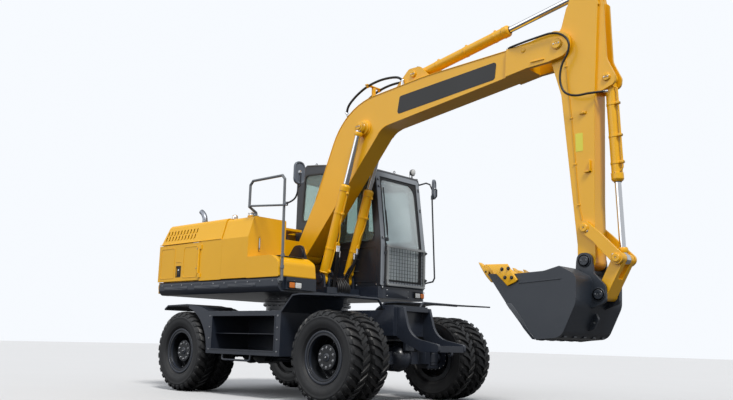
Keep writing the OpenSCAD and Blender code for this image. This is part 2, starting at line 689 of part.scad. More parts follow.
function grown(rows, d) = let(
        mid_x = (max([for (p = rows) p[0]]) + min([for (p = rows) p[0]])) / 2,
        mid_z = (max([for (p = rows) p[1]]) + min([for (p = rows) p[1]])) / 2)
    rounded([for (p = rows) [p[0] + (p[0] > mid_x ? -d : d), p[1] + (p[1] > mid_z ? -d : d), p[2]]]);
function right_rear_window(d) = grown([[-780, 2420, 60], [-180, 2420, 60], [-180, 3090, 60],
                                       [-740, 3120, 60]], d);
function right_front_window(d) = grown([[-90, 2040, 60], [690, 2040, 60], [590, 2950, 60],
                                        [-90, 3040, 60]], d);
function quarter_window(d) = grown([[-780, 2340, 60], [-510, 2340, 60], [-510, 3090, 60],
                                    [-750, 3110, 60]], d);
function door_outline(d) = grown([[-410, 1500, 30], [690, 1500, 30], [690, 2020, 60], [560, 2960, 60],
                                  [-410, 3060, 40]], d);
function door_window(d) = grown([[-310, 2120, 60], [600, 2120, 60], [500, 2870, 60], [-310, 2960, 60]], d);
module cab_glass()
    color(glass) place() {
        side_plate(right_rear_window(seat_gap), cab_right + 12, cab_right + 12 + pane);
        side_plate(right_front_window(seat_gap), cab_right + 12, cab_right + 12 + pane);
        side_plate(quarter_window(seat_gap), cab_left - 12 - pane, cab_left - 12);
        block(cab_rear + 12, cab_rear + 12 + pane, cab_right + 110 + seat_gap, cab_left - 110 - seat_gap,
              2340 + seat_gap, 3040 - seat_gap);
        // windscreen, following the front of the profile
        intersection() {
            difference() {
                side_plate(cab_profile(12), cab_right + 1, cab_left - 1);
                side_plate(cab_profile(12 + pane), cab_right, cab_left);
            }
            block(500, cab_front + 10, windshield_y()[0] + seat_gap, windshield_y()[1] - seat_gap,
                  1500 + seat_gap, 2940 - seat_gap);
        }
    }
// Seat, consoles and steering column on one floor mat
mat_top = cab_floor + cab_wall + 14;
module cab_interior()
    color([0.12, 0.12, 0.13]) place() {
        block(cab_rear + cab_wall + 20, 700, cab_right + cab_wall + 10, cab_left - cab_wall - 10,
              cab_floor + cab_wall + seat_gap, mat_top);
        block(-520, -120, 560, 1000, mat_top - 1, mat_top + 300);
        side_plate(rounded([[-560, mat_top + 290, 30], [-20, mat_top + 300, 50], [-10, mat_top + 430, 50],
                            [-440, mat_top + 400, 40], [-640, mat_top + 1060, 46],
                            [-740, mat_top + 1040, 46]]), 530, 1030);
        for (y = [430, 1040]) block(-430, 160, y, y + 90, mat_top - 1, mat_top + 520);
        for (y = [470, 1090]) upright(120, y, 16, mat_top + 519, mat_top + 680);
        along_column() cylinder(h = 700, r = 34);
        along_column() translate([0, 0, 690]) cylinder(h = 26, r = 190);
    }
module along_column() translate([420, 780, mat_top - 1]) rotate([0, -22, 0]) children();

door_hinge = [-430, cab_left + 34];
module cab_door()
    color(cab_grey) place() {
        difference() {
            side_plate(door_outline(0), cab_left - cab_wall, cab_left);
            side_plate(door_window(0), cab_left - cab_wall - 1, cab_left + 1);
        }
        // hinge barrels and their straps
        for (z = [1700, 2780]) {
            upright(door_hinge.x, door_hinge.y, 16, z, z + 110);
            block(door_hinge.x, -360, cab_left + side_gap, door_hinge.y + 8, z + 6, z + 104);
            block(-404, -360, cab_left - 1, door_hinge.y, z + 6, z + 104);
        }
    }
module door_glass()
    color(glass) place()
        side_plate(door_window(seat_gap), cab_left - 12 - pane, cab_left - 12);

// Mesh guard over the lower windscreen
guard_hinge = [cab_front + 34, cab_right + 74];
guard_left = cab_left - 40;
guard_low = 1446;
guard_high = 1985;
guard_bar = 30;
guard_hinges = [guard_low + 60, guard_high - 90];
mesh_pitch = 60;
module front_guard()
    color(cab_grey) place() {
        x0 = guard_hinge.x - 14;
        difference() {
            block(x0, x0 + 24, guard_hinge.y + 24, guard_left, guard_low, guard_high);
            block(x0 - 1, x0 + 25, guard_hinge.y + 24 + guard_bar, guard_left - guard_bar,
                  guard_low + guard_bar, guard_high - guard_bar);
        }
        for (y = [guard_hinge.y + 24 + mesh_pitch:mesh_pitch:guard_left - guard_bar])
            block(x0 + 8, x0 + 14, y - 3, y + 3, guard_low + guard_bar - 1, guard_high - guard_bar + 1);
        for (z = [guard_low + mesh_pitch:mesh_pitch:guard_high - guard_bar])
            block(x0 + 9, x0 + 13, guard_hinge.y + 24 + guard_bar - 1, guard_left - guard_bar + 1,
                  z - 3, z + 3);
        for (z = guard_hinges) {
            upright(guard_hinge.x, guard_hinge.y, 13, z, z + 70);
            block(guard_hinge.x - 8, guard_hinge.x + 8, guard_hinge.y, guard_hinge.y + 30, z + 4, z + 66);
        }
    }

// Handrail on the right, and the mirrors on their arms
rail_r = 17;
rail_right_x = 560;
rail_y = upper_half_w - 24;
mirror_arm_z = 2330;
module handrail()
    color([0.42, 0.44, 0.48]) place() {
        tube_run([[deck_front + seat_gap, -rail_y, 1400], [rail_right_x + 22, -rail_y, 1400],
                  [rail_right_x - 4, -rail_y, 2640], [rail_right_x - 50, -rail_y, 2690],
                  [-60, -rail_y, 2690], [-112, -rail_y, 2640], [-112, -rail_y, 2360],
                  [-112, -hood_half_w + 55, 2300],
                  [-112, -hood_half_w + 55, hood_top - 20 + seat_gap]], rail_r);
        tube_run([[rail_right_x + 2, -rail_y + 2, 2315], [-112, -rail_y + 2, 2370]], rail_r - 4);
    }
module mirrors()
    color([0.42, 0.44, 0.48]) place() {
        tube_run([[rail_right_x + 40, -rail_y, mirror_arm_z], [740, -rail_y, mirror_arm_z + 40],
                  [790, -rail_y, mirror_arm_z + 90], [800, -rail_y, 2660]], 11);
        block(rail_right_x + 20.2, rail_right_x + 52, -rail_y - 24, -rail_y + 24,
              mirror_arm_z - 26, mirror_arm_z + 22);
        mirror_head([812, -rail_y, 2680]);
        // left mirror, clamped to the grab rail
        difference() {
            upright(grab_x, grab_y, 20, 2720, 2780);
            upright(grab_x, grab_y, grab_r + seat_gap, 2719, 2781);
        }
        block(grab_x + 12, grab_x + 52, grab_y - 46, grab_y + 8, 2724, 2776);
        mirror_head([grab_x + 58, grab_y - 38, 2856], 25);
    }
// Long grab rail beside the cab's front, which carries the left mirror
grab_r = 11;
grab_x = 905;
grab_y = cab_left + 22;
module grab_rail()
    color([0.42, 0.44, 0.48]) place()
        tube_run([[650, cab_left + seat_gap, 2960], [650, grab_y, 2960], [790, grab_y, 2975],
                  [862, grab_y, 2945], [grab_x, grab_y, 2860], [grab_x, grab_y, 2690], [960, grab_y, 1600],
                  [930, grab_y, 1550], [790, grab_y, 1530], [790, cab_left + seat_gap, 1530]], grab_r);
module mirror_head(at, swivel = 0)
    translate(at) rotate([0, 0, swivel])
        cross_plate(rounded([[-75, -142, 70], [75, -142, 70], [75, 142, 70], [-75, 142, 70]]), -14, 22);

module lamps()
    color([0.9, 0.9, 0.86]) place() {
        // rows: [x, y, z, half width, half height]
        for (row = [[592, -beam_in_y, 1350, 45, 36], [592, -beam_in_y + 100, 1350, 52, 36],
                    [cab_front + 6, 1060, 1345, 52, 34], [cab_front + 6, 1160, 1345, 40, 34]])
            block(row[0] + seat_gap, row[0] + 34, row[1] - row[3], row[1] + row[3],
                  row[2] - row[4], row[2] + row[4]);
        // work lamps on the roof's front edge
        for (y = [cab_right + 60, cab_left - 70]) {
            upright(600, y, 10, 3058, 3110);
            block(570, 640, y - 48, y + 48, 3105, 3180);
        }
    }

// Boom: one box section, the foot and nose forks, and the brackets on it
fork_in = arm_half_w + side_gap;
fork_out = 172;
box_end = 3340;
module boom()
    color(paint_yellow) place() difference() {
        union() {
            side_plate(boom_outline(), -boom_half_w, boom_half_w);
            cross_pin(boom_foot, 112, -foot_half_w, foot_half_w);
            both_sides() {
                side_plate(nose_outline(), fork_in, fork_out);
                cross_pin(boom_nose, 62, fork_out - 1, fork_out + 12);
                cross_pin(boom_cyl_top, 100, boom_half_w - 1, boom_boss_y);
                side_plate(rounded([[1330, 3890, 0], [1580, 4130, 70], [1760, 4130, 70], [1960, 3930, 0]]),
                           66, 94);
                cross_pin(arm_cyl_base, 44, 93, 106);
            }
            cross_pin(boom_nose, main_pin_d / 2, -fork_out, fork_out);
            cross_pin(arm_cyl_base, main_pin_d / 2, -94, 94);
        }
        cross_pin(boom_foot, main_pin_d / 2 + fit_gap, -foot_half_w - 1, foot_half_w + 1);
    }
function boom_outline() = rounded([
    [-376, 1905, 0], [-368, 1955, 30], [10, 2640, 800], [510, 3822, 880], [1900, 3955, 4000],
    [box_end, 3998, 0], [box_end, 3712, 0], [1189, 3424, 260], [-160, 1832, 20]
], 8);
function nose_outline() = rounded([
    [3080, 3990, 0], [3400, 4010, 0], [3690, 4055, 120], [3870, 3990, 130], [3850, 3760, 130],
    [3600, 3722, 60], [box_end, 3712, 0], [3060, 3672, 0]
]);

// Hydraulic cylinders lie along +X from the pin of the tube's eye
eye_gap = 95;
rod_eye_w = 52;
boom_boss_y = boom_cyl_y - rod_d / 2 - 14;
module barrel(length, tube_r, bore_r, eye_r, eye_w, pin_r)
    difference() {
        union() {
            rotate([-90, 0, 0]) translate([0, 0, -eye_w / 2]) cylinder(h = eye_w, r = eye_r);
            block(0, eye_gap + 10, -eye_w / 2, eye_w / 2, -eye_r * 0.7, eye_r * 0.7);
            translate([eye_gap, 0, 0]) rotate([0, 90, 0]) cylinder(h = length - eye_gap, r = tube_r);
        }
        rotate([-90, 0, 0]) translate([0, 0, -eye_w]) cylinder(h = 2 * eye_w, r = pin_r + fit_gap);
        translate([eye_gap + 14, 0, 0]) rotate([0, 90, 0]) cylinder(h = length, r = bore_r + fit_gap);
    }
// A rod reaches back along -X from the middle of its eye
module rod(length, rod_r, eye_r, eye_w) {
    rotate([-90, 0, 0]) translate([0, 0, -eye_w / 2]) cylinder(h = eye_w, r = eye_r);
    translate([-length, 0, 0]) rotate([0, 90, 0]) cylinder(h = length - eye_r + 10, r = rod_r);
    translate([-eye_r - 60, 0, 0]) rotate([0, 90, 0]) cylinder(h = 74, r = rod_r + 8);
}
module boom_barrels()
    color(paint_yellow) place() both_sides() translate([0, boom_cyl_y, 0])
        along(boom_cyl_base, boom_cyl_top) barrel(1262, cyl_d / 2, rod_d / 2, 72, 52, main_pin_d / 2);
module boom_rods()
    color(chrome) place() both_sides() translate([0, boom_cyl_y, 0])
        along_back(boom_cyl_base, boom_cyl_top) {
            rod(1340, rod_d / 2, 66, rod_eye_w);
            // the pin, from the boom's boss out through the eye
            cross_pin([0, 0], main_pin_d / 2, boom_boss_y + seat_gap - boom_cyl_y, rod_eye_w / 2 + 8);
        }
module along_back(from, to)
    translate([to.x, 0, to.y]) rotate([0, -heading(from, to), 0]) children();
module arm_barrel()
    color(paint_yellow) place()
        along(arm_cyl_base, arm_cyl_top) barrel(1370, cyl_d / 2, rod_d / 2, 70, 112, main_pin_d / 2);
module arm_rod()
    color(chrome) place() along_back(arm_cyl_base, arm_cyl_top) rod(1430, rod_d / 2, 66, 104);
module bucket_barrel()
    color(paint_yellow) place()
        along(bucket_cyl_top, rocker_end)
            barrel(1070, bucket_cyl_d / 2, bucket_rod_d / 2, 62, 96, link_pin_d / 2);
module bucket_rod()
    color(chrome) place() along_back(bucket_cyl_top, rocker_end) rod(1119, bucket_rod_d / 2, 60, 92);

// Arm, its bracket for the bucket cylinder and the ears for its own cylinder
ear_in = 62;
bracket_gap = 60;
module arm()
    color(paint_yellow) place() difference() {
        union() {
            side_plate(arm_outline(), -arm_half_w, arm_half_w);
            both_sides() {
                side_plate(arm_ear_outline(), ear_in, arm_half_w);
                cross_pin(arm_cyl_top, 52, arm_half_w - 1, arm_half_w + 10);
                side_plate(arm_bracket_outline(), bracket_gap, bracket_gap + 28);
                cross_pin(bucket_cyl_top, 42, bracket_gap + 27, bracket_gap + 38);
            }
            cross_pin(bucket_cyl_top, link_pin_d / 2, -bracket_gap - 28, bracket_gap + 28);
        }
        cross_pin(boom_nose, main_pin_d / 2 + fit_gap, -arm_half_w - 1, arm_half_w + 1);
        cross_pin(bucket_pivot, link_pin_d / 2 + fit_gap, -arm_half_w - 1, arm_half_w + 1);
        cross_pin(rocker_pivot, link_pin_d / 2 + fit_gap, -arm_half_w - 1, arm_half_w + 1);
    }
function arm_outline() = rounded([
    [3868, 1520, 80], [3872, 1720, 0], [3726, 3330, 60], [3600, 3780, 120], [3590, 3950, 120],
    [3740, 4080, 80], [3815, 4330, 60], [4172, 4330, 30], [4104, 3300, 40], [4068, 2160, 60],
    [4062, 1500, 70], [3965, 1462, 80]
]);
function arm_ear_outline() = rounded([
    [3800, 4250, 0], [3900, 4560, 90], [4120, 4580, 90], [4176, 4240, 0]
]);
function arm_bracket_outline() = rounded([
    [4090, 3290, 0], [4160, 3300, 20], [4305, 3352, 60], [4318, 3440, 60], [4228, 3640, 200],
    [4210, 4280, 30], [4160, 4320, 0]
]);

// Rocker, link, bucket
rocker_in = arm_half_w + 6;
rocker_out = 160;
link_half_w = rocker_in - 6;
module rocker()
    color(paint_yellow) place() {
        both_sides() {
            along(rocker_pivot, rocker_end) {
                reach = norm(rocker_end - rocker_pivot);
                side_plate(rounded([[-68, -60, 58], [-68, 66, 58], [160, 72, 100], [reach + 60, 66, 58],
                                    [reach + 60, -66, 58], [160, -40, 100]]), rocker_in, rocker_out);
            }
            cross_pin(rocker_pivot, 50, rocker_out - 1, rocker_out + 10);
            cross_pin(rocker_end, 46, rocker_out - 1, rocker_out + 12);
        }
        cross_pin(rocker_pivot, link_pin_d / 2, -rocker_out, rocker_out);
    }
ear_gap = 132;
bucket_ear = 34;
module bucket_link()
    color(paint_yellow) place() difference() {
        along(link_low, rocker_end) {
            reach = norm(rocker_end - link_low);
            difference() {
                union() {
                    side_plate(rounded([[-55, -56, 54], [-55, 56, 54], [reach + 62, 60, 58],
                                        [reach + 62, -60, 58]]), -link_half_w, link_half_w);
                    cross_pin([0, 0], 56, -ear_gap + 2, ear_gap - 2);
                }
                block(reach - 190, reach + 80, -52, 52, -90, 90);
            }
        }
        cross_pin(link_low, link_pin_d / 2 + fit_gap, -ear_gap, ear_gap);
    }
eye_hole_r = 13;
bucket_eye = [3982, 948];
module bucket()
    color(paint_grey) place() difference() {
        union() {
            difference() {
                side_plate(bucket_outline(), -bucket_half_w, bucket_half_w);
                side_plate(bucket_inside(), -bucket_half_w + bucket_plate, bucket_half_w - bucket_plate);
            }
            both_sides() {
                side_plate(bucket_ear_outline(), ear_gap, ear_gap + bucket_ear);
                for (at = [bucket_pivot, link_low]) {
                    cross_pin(at, 62, ear_gap + bucket_ear - 1, ear_gap + bucket_ear + 14);
                    cross_pin(at, link_pin_d / 2, -ear_gap - 1, ear_gap + 1);
                }
            }
            // lifting eye on the back
            side_plate(rounded([[3890, 860, 0], [3972, 880, 30], [4024, 980, 36], [3990, 1056, 0]]), -18, 18);
        }
        cross_pin(bucket_eye, eye_hole_r, -19, 19);
    }
function bucket_outline() = rounded([
    [3040, 1432, 0], [3360, 1420, 0], [3700, 1436, 200], [3868, 1478, 12], [4045, 1385, 90],
    [4036, 1120, 200], [3872, 790, 130], [3560, 762, 160], [3300, 1076, 120]
]);
function bucket_inside() = rounded([
    [3000, 1480, 0], [3840, 1540, 0], [3842, 1467, 0], [4022, 1373, 70], [4014, 1127, 180],
    [3858, 812, 110], [3572, 786, 140], [3322, 1090, 110], [3068, 1432, 0]
]);
function bucket_ear_outline() = rounded([
    [3868, 1466, 0], [3874, 1540, 20], [3890, 1632, 70], [4040, 1632, 70], [4056, 1430, 60],
    [4180, 1300, 60], [4180, 1140, 50], [4024, 1080, 0], [4032, 1380, 0]
]);
tooth_y = [-440, -220, 0, 220, 440];
lip = [3040, 1432];
lip_root = [3300, 1076];
lip_t = 24;
module teeth()
    color(paint_yellow) place() {
        // each tooth holds the lip between two jaws
        for (y = tooth_y) along(lip, lip * 2 - lip_root) side_plate([
                [-90, seat_gap], [-90, 26], [10, 34], [170, 38], [172, 28], [10, -lip_t - 28],
                [-80, -lip_t - 20], [-80, -lip_t - seat_gap], [2, -lip_t - seat_gap], [2, seat_gap]
            ], y - 38, y + 38);
        both_sides()
            side_plate(rounded([[3020, 1530, 10], [3292, 1522, 20], [3412, 1352, 20], [3290, 1296, 20],
                                [3150, 1440, 0]]), bucket_half_w + seat_gap, bucket_half_w + 24);
    }

// Hoses and pipes that the boom holds all the way
module hoses()
    color([0.06, 0.06, 0.07]) place() both_sides()
        tube_run([[561.8, 114, 3680.4], [512, 114, 3742], [560, 114, 3850], [700, 114, 3960],
                  [900, 114, 4050], [1150, 114, 4085], [1400, 114, 4060], [1500, 114, 3990],
                  [1500, 114, 3919]], 16);

chassis();
side_boxes();
front_axle();
rear_axle();
transmission();
mirror([0, 1, 0]) knuckle();  // knuckle_right
knuckle();  // knuckle_left
steering_rod();
mirror([0, 1, 0]) tyres(front_x);  // tyres_front_right
tyres(front_x);  // tyres_front_left
mirror([0, 1, 0]) tyres(rear_x);  // tyres_rear_right
tyres(rear_x);  // tyres_rear_left
mirror([0, 1, 0]) rims(front_x);  // rims_front_right
rims(front_x);  // rims_front_left
mirror([0, 1, 0]) rims(rear_x);  // rims_rear_right
rims(rear_x);  // rims_rear_left
upper_frame();
counterweight();
engine_bay();
engine();
tank();
front_box();
engine_door();
cooler_door();
bonnet();
exhaust();
cab_shell();
cab_glass();
cab_interior();
cab_door();
door_glass();
front_guard();
handrail();
grab_rail();
mirrors();
lamps();
boom();
boom_barrels();
boom_rods();
arm_barrel();
arm_rod();
arm();
bucket_barrel();
bucket_rod();
rocker();
bucket_link();
bucket();
teeth();
hoses();
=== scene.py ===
import bpy, bmesh, math
from mathutils import Vector, Matrix


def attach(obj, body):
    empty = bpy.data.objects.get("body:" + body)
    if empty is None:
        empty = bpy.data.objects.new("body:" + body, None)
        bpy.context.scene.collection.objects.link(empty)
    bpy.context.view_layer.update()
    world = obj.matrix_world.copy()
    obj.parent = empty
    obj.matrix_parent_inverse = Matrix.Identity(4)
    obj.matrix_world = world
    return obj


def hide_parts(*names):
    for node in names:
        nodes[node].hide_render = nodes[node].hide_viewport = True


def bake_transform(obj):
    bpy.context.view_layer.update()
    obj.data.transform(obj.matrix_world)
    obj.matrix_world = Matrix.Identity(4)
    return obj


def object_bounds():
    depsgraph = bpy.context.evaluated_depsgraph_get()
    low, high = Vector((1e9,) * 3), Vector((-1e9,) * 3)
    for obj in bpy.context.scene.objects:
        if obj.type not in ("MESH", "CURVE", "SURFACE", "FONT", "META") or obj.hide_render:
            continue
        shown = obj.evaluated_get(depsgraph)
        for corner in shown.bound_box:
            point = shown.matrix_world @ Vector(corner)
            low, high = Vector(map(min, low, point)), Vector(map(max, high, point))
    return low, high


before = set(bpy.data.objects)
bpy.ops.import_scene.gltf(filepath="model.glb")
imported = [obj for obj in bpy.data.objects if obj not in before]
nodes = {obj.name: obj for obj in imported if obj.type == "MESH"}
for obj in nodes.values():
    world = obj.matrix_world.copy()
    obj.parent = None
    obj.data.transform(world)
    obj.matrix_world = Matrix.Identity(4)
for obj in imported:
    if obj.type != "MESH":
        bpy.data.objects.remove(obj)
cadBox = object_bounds()
print("frame loaded:", len(nodes), "nodes")

middleX = 1.0925  # the row's origin, ahead of the middle of the wheelbase


def at(x, y, z):
    # millimetres from the middle of the wheelbase to metres in the row frame
    return Vector((x / 1000 - middleX, y / 1000, z / 1000))


# Camera
cameraSetup = {"x": 7562, "y": -7191, "z": 706, "azimuth": 43.184, "pitch": 10.488, "roll": 1.486,
               "lens": 37.53}


def makeCamera(setup):
    a, e, roll = (math.radians(setup[k]) for k in ("azimuth", "pitch", "roll"))
    look = Vector((-math.sin(a) * math.cos(e), math.cos(a) * math.cos(e), math.sin(e)))
    side = Vector((math.cos(a), math.sin(a), 0))
    top = side.cross(look)
    right = side * math.cos(roll) + top * math.sin(roll)
    up = top * math.cos(roll) - side * math.sin(roll)
    data = bpy.data.cameras.new("photoCamera")
    data.lens = setup["lens"]
    data.sensor_width = 36
    data.sensor_fit = "HORIZONTAL"
    data.clip_end = 200
    cam = bpy.data.objects.new("photoCamera", data)
    turn = Matrix((right, up, -look)).transposed().to_4x4()
    cam.matrix_world = Matrix.Translation(at(setup["x"], setup["y"], setup["z"])) @ turn
    bpy.context.scene.collection.objects.link(cam)
    bpy.context.scene.camera = cam


makeCamera(cameraSetup)
print("camera made")

# Shader groups


def newGroup(name, inputs, outputs):
    group = bpy.data.node_groups.new(name, "ShaderNodeTree")
    for label, kind, value in inputs:
        socket = group.interface.new_socket(name=label, in_out="INPUT", socket_type=kind)
        if value is not None:
            socket.default_value = value
    for label, kind in outputs:
        group.interface.new_socket(name=label, in_out="OUTPUT", socket_type=kind)
    start = group.nodes.new("NodeGroupInput")
    end = group.nodes.new("NodeGroupOutput")
    return group, start, end


def addNode(tree, kind, **values):
    node = tree.nodes.new(kind)
    for key, value in values.items():
        if key.startswith("in_"):
            node.inputs[int(key[3:])].default_value = value
        else:
            setattr(node, key, value)
    return node


def mathNode(tree, operation, a, b=None, clamp=False):
    node = tree.nodes.new("ShaderNodeMath")
    node.operation = operation
    node.use_clamp = clamp
    for i, value in enumerate((a, b)):
        if value is None:
            continue
        if hasattr(value, "links"):
            tree.links.new(value, node.inputs[i])
        else:
            node.inputs[i].default_value = value
    return node.outputs[0]


def mixColour(tree, factor, a, b, blend="MIX"):
    node = tree.nodes.new("ShaderNodeMix")
    node.data_type = "RGBA"
    node.blend_type = blend
    for i, value in ((0, factor), (6, a), (7, b)):
        if hasattr(value, "links"):
            tree.links.new(value, node.inputs[i])
        else:
            node.inputs[i].default_value = value
    return node.outputs[2]


def noiseNode(tree, coords, scale, detail=3.0, rough=0.55):
    node = addNode(tree, "ShaderNodeTexNoise")
    node.inputs["Detail"].default_value = detail
    node.inputs["Roughness"].default_value = rough
    if hasattr(scale, "links"):
        tree.links.new(scale, node.inputs["Scale"])
    else:
        node.inputs["Scale"].default_value = scale
    tree.links.new(coords, node.inputs["Vector"])
    return node.outputs["Fac"]


def makeSurfaceGrain():
    # broad and fine variation of a finish
    group, start, end = newGroup(
        "surfaceGrain",
        [("Broad Scale", "NodeSocketFloat", 1.5), ("Fine Scale", "NodeSocketFloat", 60.0)],
        [("Broad", "NodeSocketFloat"), ("Fine", "NodeSocketFloat")],
    )
    coords = addNode(group, "ShaderNodeTexCoord").outputs["Object"]
    broad = noiseNode(group, coords, start.outputs["Broad Scale"], 4.0)
    fine = noiseNode(group, coords, start.outputs["Fine Scale"], 4.0)
    group.links.new(broad, end.inputs["Broad"])
    group.links.new(fine, end.inputs["Fine"])
    return group


def makeDustAndSheenFilm():
    # dust that lies on upward faces and gathers low down; on the tyres the lighter upward faces are partly
    # a painted sheen
    group, start, end = newGroup(
        "dustAndSheenFilm",
        [("Top Amount", "NodeSocketFloat", 0.3), ("Low Amount", "NodeSocketFloat", 0.4),
         ("Low Height", "NodeSocketFloat", 0.9), ("Patch Scale", "NodeSocketFloat", 5.0)],
        [("Mask", "NodeSocketFloat")],
    )
    coords = addNode(group, "ShaderNodeTexCoord").outputs["Object"]
    place = addNode(group, "ShaderNodeSeparateXYZ")
    group.links.new(coords, place.inputs[0])
    facing = addNode(group, "ShaderNodeSeparateXYZ")
    group.links.new(addNode(group, "ShaderNodeNewGeometry").outputs["Normal"], facing.inputs[0])
    upward = mathNode(group, "POWER", mathNode(group, "MAXIMUM", facing.outputs["Z"], 0.0), 2.0)
    heightShare = mathNode(group, "DIVIDE", place.outputs["Z"], start.outputs["Low Height"])
    low = mathNode(group, "SUBTRACT", 1.0, heightShare, True)
    patches = noiseNode(group, coords, start.outputs["Patch Scale"], 6.0, 0.65)
    spread = mathNode(group, "MULTIPLY", mathNode(group, "SUBTRACT", patches, 0.3, True), 1.9, True)
    total = mathNode(
        group, "ADD",
        mathNode(group, "MULTIPLY", upward, start.outputs["Top Amount"]),
        mathNode(group, "MULTIPLY", low, start.outputs["Low Amount"]),
    )
    group.links.new(mathNode(group, "MULTIPLY", total, spread, True), end.inputs["Mask"])
    return group


def makeEdgeWearAndHighlight():
    # thin lines where faces meet, broken up by noise: partly worn paint, partly a painted highlight on the
    # edges; and the softened normal of those edges
    group, start, end = newGroup(
        "edgeWearAndHighlight",
        [("Width", "NodeSocketFloat", 0.006), ("Amount", "NodeSocketFloat", 0.6)],
        [("Mask", "NodeSocketFloat"), ("Normal", "NodeSocketVector")],
    )
    soft = addNode(group, "ShaderNodeBevel", samples=4)
    group.links.new(start.outputs["Width"], soft.inputs["Radius"])
    flat = addNode(group, "ShaderNodeNewGeometry").outputs["Normal"]
    dot = addNode(group, "ShaderNodeVectorMath", operation="DOT_PRODUCT")
    group.links.new(soft.outputs[0], dot.inputs[0])
    group.links.new(flat, dot.inputs[1])
    bent = mathNode(group, "MULTIPLY", mathNode(group, "SUBTRACT", 1.0, dot.outputs["Value"]), 6.0, True)
    coords = addNode(group, "ShaderNodeTexCoord").outputs["Object"]
    patches = noiseNode(group, coords, 14.0, 6.0, 0.7)
    broken = mathNode(group, "MULTIPLY", mathNode(group, "SUBTRACT", patches, 0.47, True), 6.0, True)
    thin = mathNode(group, "MULTIPLY", bent, broken)
    wornAndHighlight = mathNode(group, "MULTIPLY", thin, start.outputs["Amount"], True)
    group.links.new(wornAndHighlight, end.inputs["Mask"])
    group.links.new(soft.outputs[0], end.inputs["Normal"])
    return group


surfaceGrain = makeSurfaceGrain()
dustAndSheenFilm = makeDustAndSheenFilm()
edgeWearAndHighlight = makeEdgeWearAndHighlight()


def placeGroup(tree, group, **values):
    node = tree.nodes.new("ShaderNodeGroup")
    node.node_tree = group
    for key, value in values.items():
        node.inputs[key.replace("_", " ")].default_value = value
    return node


def newMaterial(name):
    made = bpy.data.materials.new(name)
    made.use_nodes = True
    tree = made.node_tree
    return made, tree, tree.nodes["Principled BSDF"]


def bumpNode(tree, height, strength, distance, normal=None):
    node = addNode(tree, "ShaderNodeBump")
    node.inputs["Strength"].default_value = strength
    node.inputs["Distance"].default_value = distance
    tree.links.new(height, node.inputs["Height"])
    if normal is not None:
        tree.links.new(normal, node.inputs["Normal"])
    return node.outputs[0]


def variedRough(tree, mask, swing, low):
    # roughness from low to low + swing
    return mathNode(tree, "ADD", mathNode(tree, "MULTIPLY", mask, swing), low)


def darker(colour, share):
    return tuple(c * share for c in colour[:3]) + (1,)


# Materials: colours are linear. The bare colour is that of the edge lines: worn edges, and partly a
# painted highlight along them; top and low are the dust on upward faces and low down; peel is the strength
# of the fine bump
dustColour = (0.30, 0.27, 0.23, 1)
paints = {
    "paintYellow": {"colour": (0.93, 0.49, 0.002), "shade": (0.80, 0.40, 0.001), "rough": 0.36,
        "coat": 0.18, "bare": (0.60, 0.30, 0.03), "wear": 0.10, "top": 0.05, "low": 0.05, "peel": 0.10},
    "paintGrey": {"colour": (0.019, 0.026, 0.042), "shade": (0.013, 0.018, 0.030), "rough": 0.34,
        "coat": 0.30, "bare": (0.16, 0.18, 0.21), "wear": 0.30, "top": 0.10, "low": 0.08, "peel": 0.12},
    "cabGrey": {"colour": (0.018, 0.022, 0.031), "shade": (0.013, 0.016, 0.023), "rough": 0.34,
        "coat": 0.30, "bare": (0.09, 0.10, 0.12), "wear": 0.12, "top": 0.10, "low": 0.05, "peel": 0.10},
    "pillarGrey": {"colour": (0.30, 0.33, 0.37), "shade": (0.24, 0.27, 0.31), "rough": 0.30,
        "coat": 0.4, "bare": (0.42, 0.43, 0.45), "wear": 0.10, "top": 0.08, "low": 0.05, "peel": 0.08},
    "guardGrey": {"colour": (0.34, 0.36, 0.37), "shade": (0.28, 0.30, 0.31), "rough": 0.36,
        "coat": 0.25, "bare": (0.50, 0.50, 0.51), "wear": 0.12, "top": 0.10, "low": 0.05, "peel": 0.08},
    "mirrorShell": {"colour": (0.13, 0.15, 0.19), "shade": (0.10, 0.12, 0.15), "rough": 0.32,
        "coat": 0.4, "bare": (0.30, 0.31, 0.33), "wear": 0.05, "top": 0.08, "low": 0.05, "peel": 0.05},
    "lampShell": {"colour": (0.20, 0.21, 0.22), "shade": (0.16, 0.17, 0.18), "rough": 0.25,
        "coat": 0.5, "bare": (0.40, 0.40, 0.41), "wear": 0.05, "top": 0.05, "low": 0.05, "peel": 0.05},
    "rimDark": {"colour": (0.010, 0.012, 0.016), "shade": (0.006, 0.008, 0.011), "rough": 0.42,
        "coat": 0.15, "bare": (0.06, 0.065, 0.075), "wear": 0.10, "top": 0.03, "low": 0.03, "peel": 0.12},
    "labelYellow": {"colour": (0.80, 0.74, 0.05), "shade": (0.74, 0.68, 0.05), "rough": 0.40,
        "coat": 0.1, "bare": (0.5, 0.46, 0.1), "wear": 0.02, "top": 0.03, "low": 0.02, "peel": 0.04},
    "plateBlack": {"colour": (0.012, 0.013, 0.015), "shade": (0.008, 0.009, 0.010), "rough": 0.5,
        "coat": 0.05, "bare": (0.05, 0.05, 0.05), "wear": 0.02, "top": 0.05, "low": 0.02, "peel": 0.04},
    "railGrey": {"colour": (0.15, 0.165, 0.185), "shade": (0.12, 0.13, 0.15), "rough": 0.38,
        "coat": 0.20, "bare": (0.30, 0.31, 0.33), "wear": 0.16, "top": 0.15, "low": 0.10, "peel": 0.10},
    "bucketEdge": {"colour": (0.085, 0.095, 0.115), "shade": (0.06, 0.07, 0.085), "rough": 0.42,
        "coat": 0.15, "bare": (0.30, 0.30, 0.31), "wear": 0.5, "top": 0.2, "low": 0.1, "peel": 0.2},
    "bucketGrey": {"colour": (0.021, 0.029, 0.042), "shade": (0.014, 0.020, 0.031), "rough": 0.46,
        "coat": 0.15, "bare": (0.22, 0.22, 0.23), "wear": 0.45, "top": 0.25, "low": 0.10, "peel": 0.20},
}


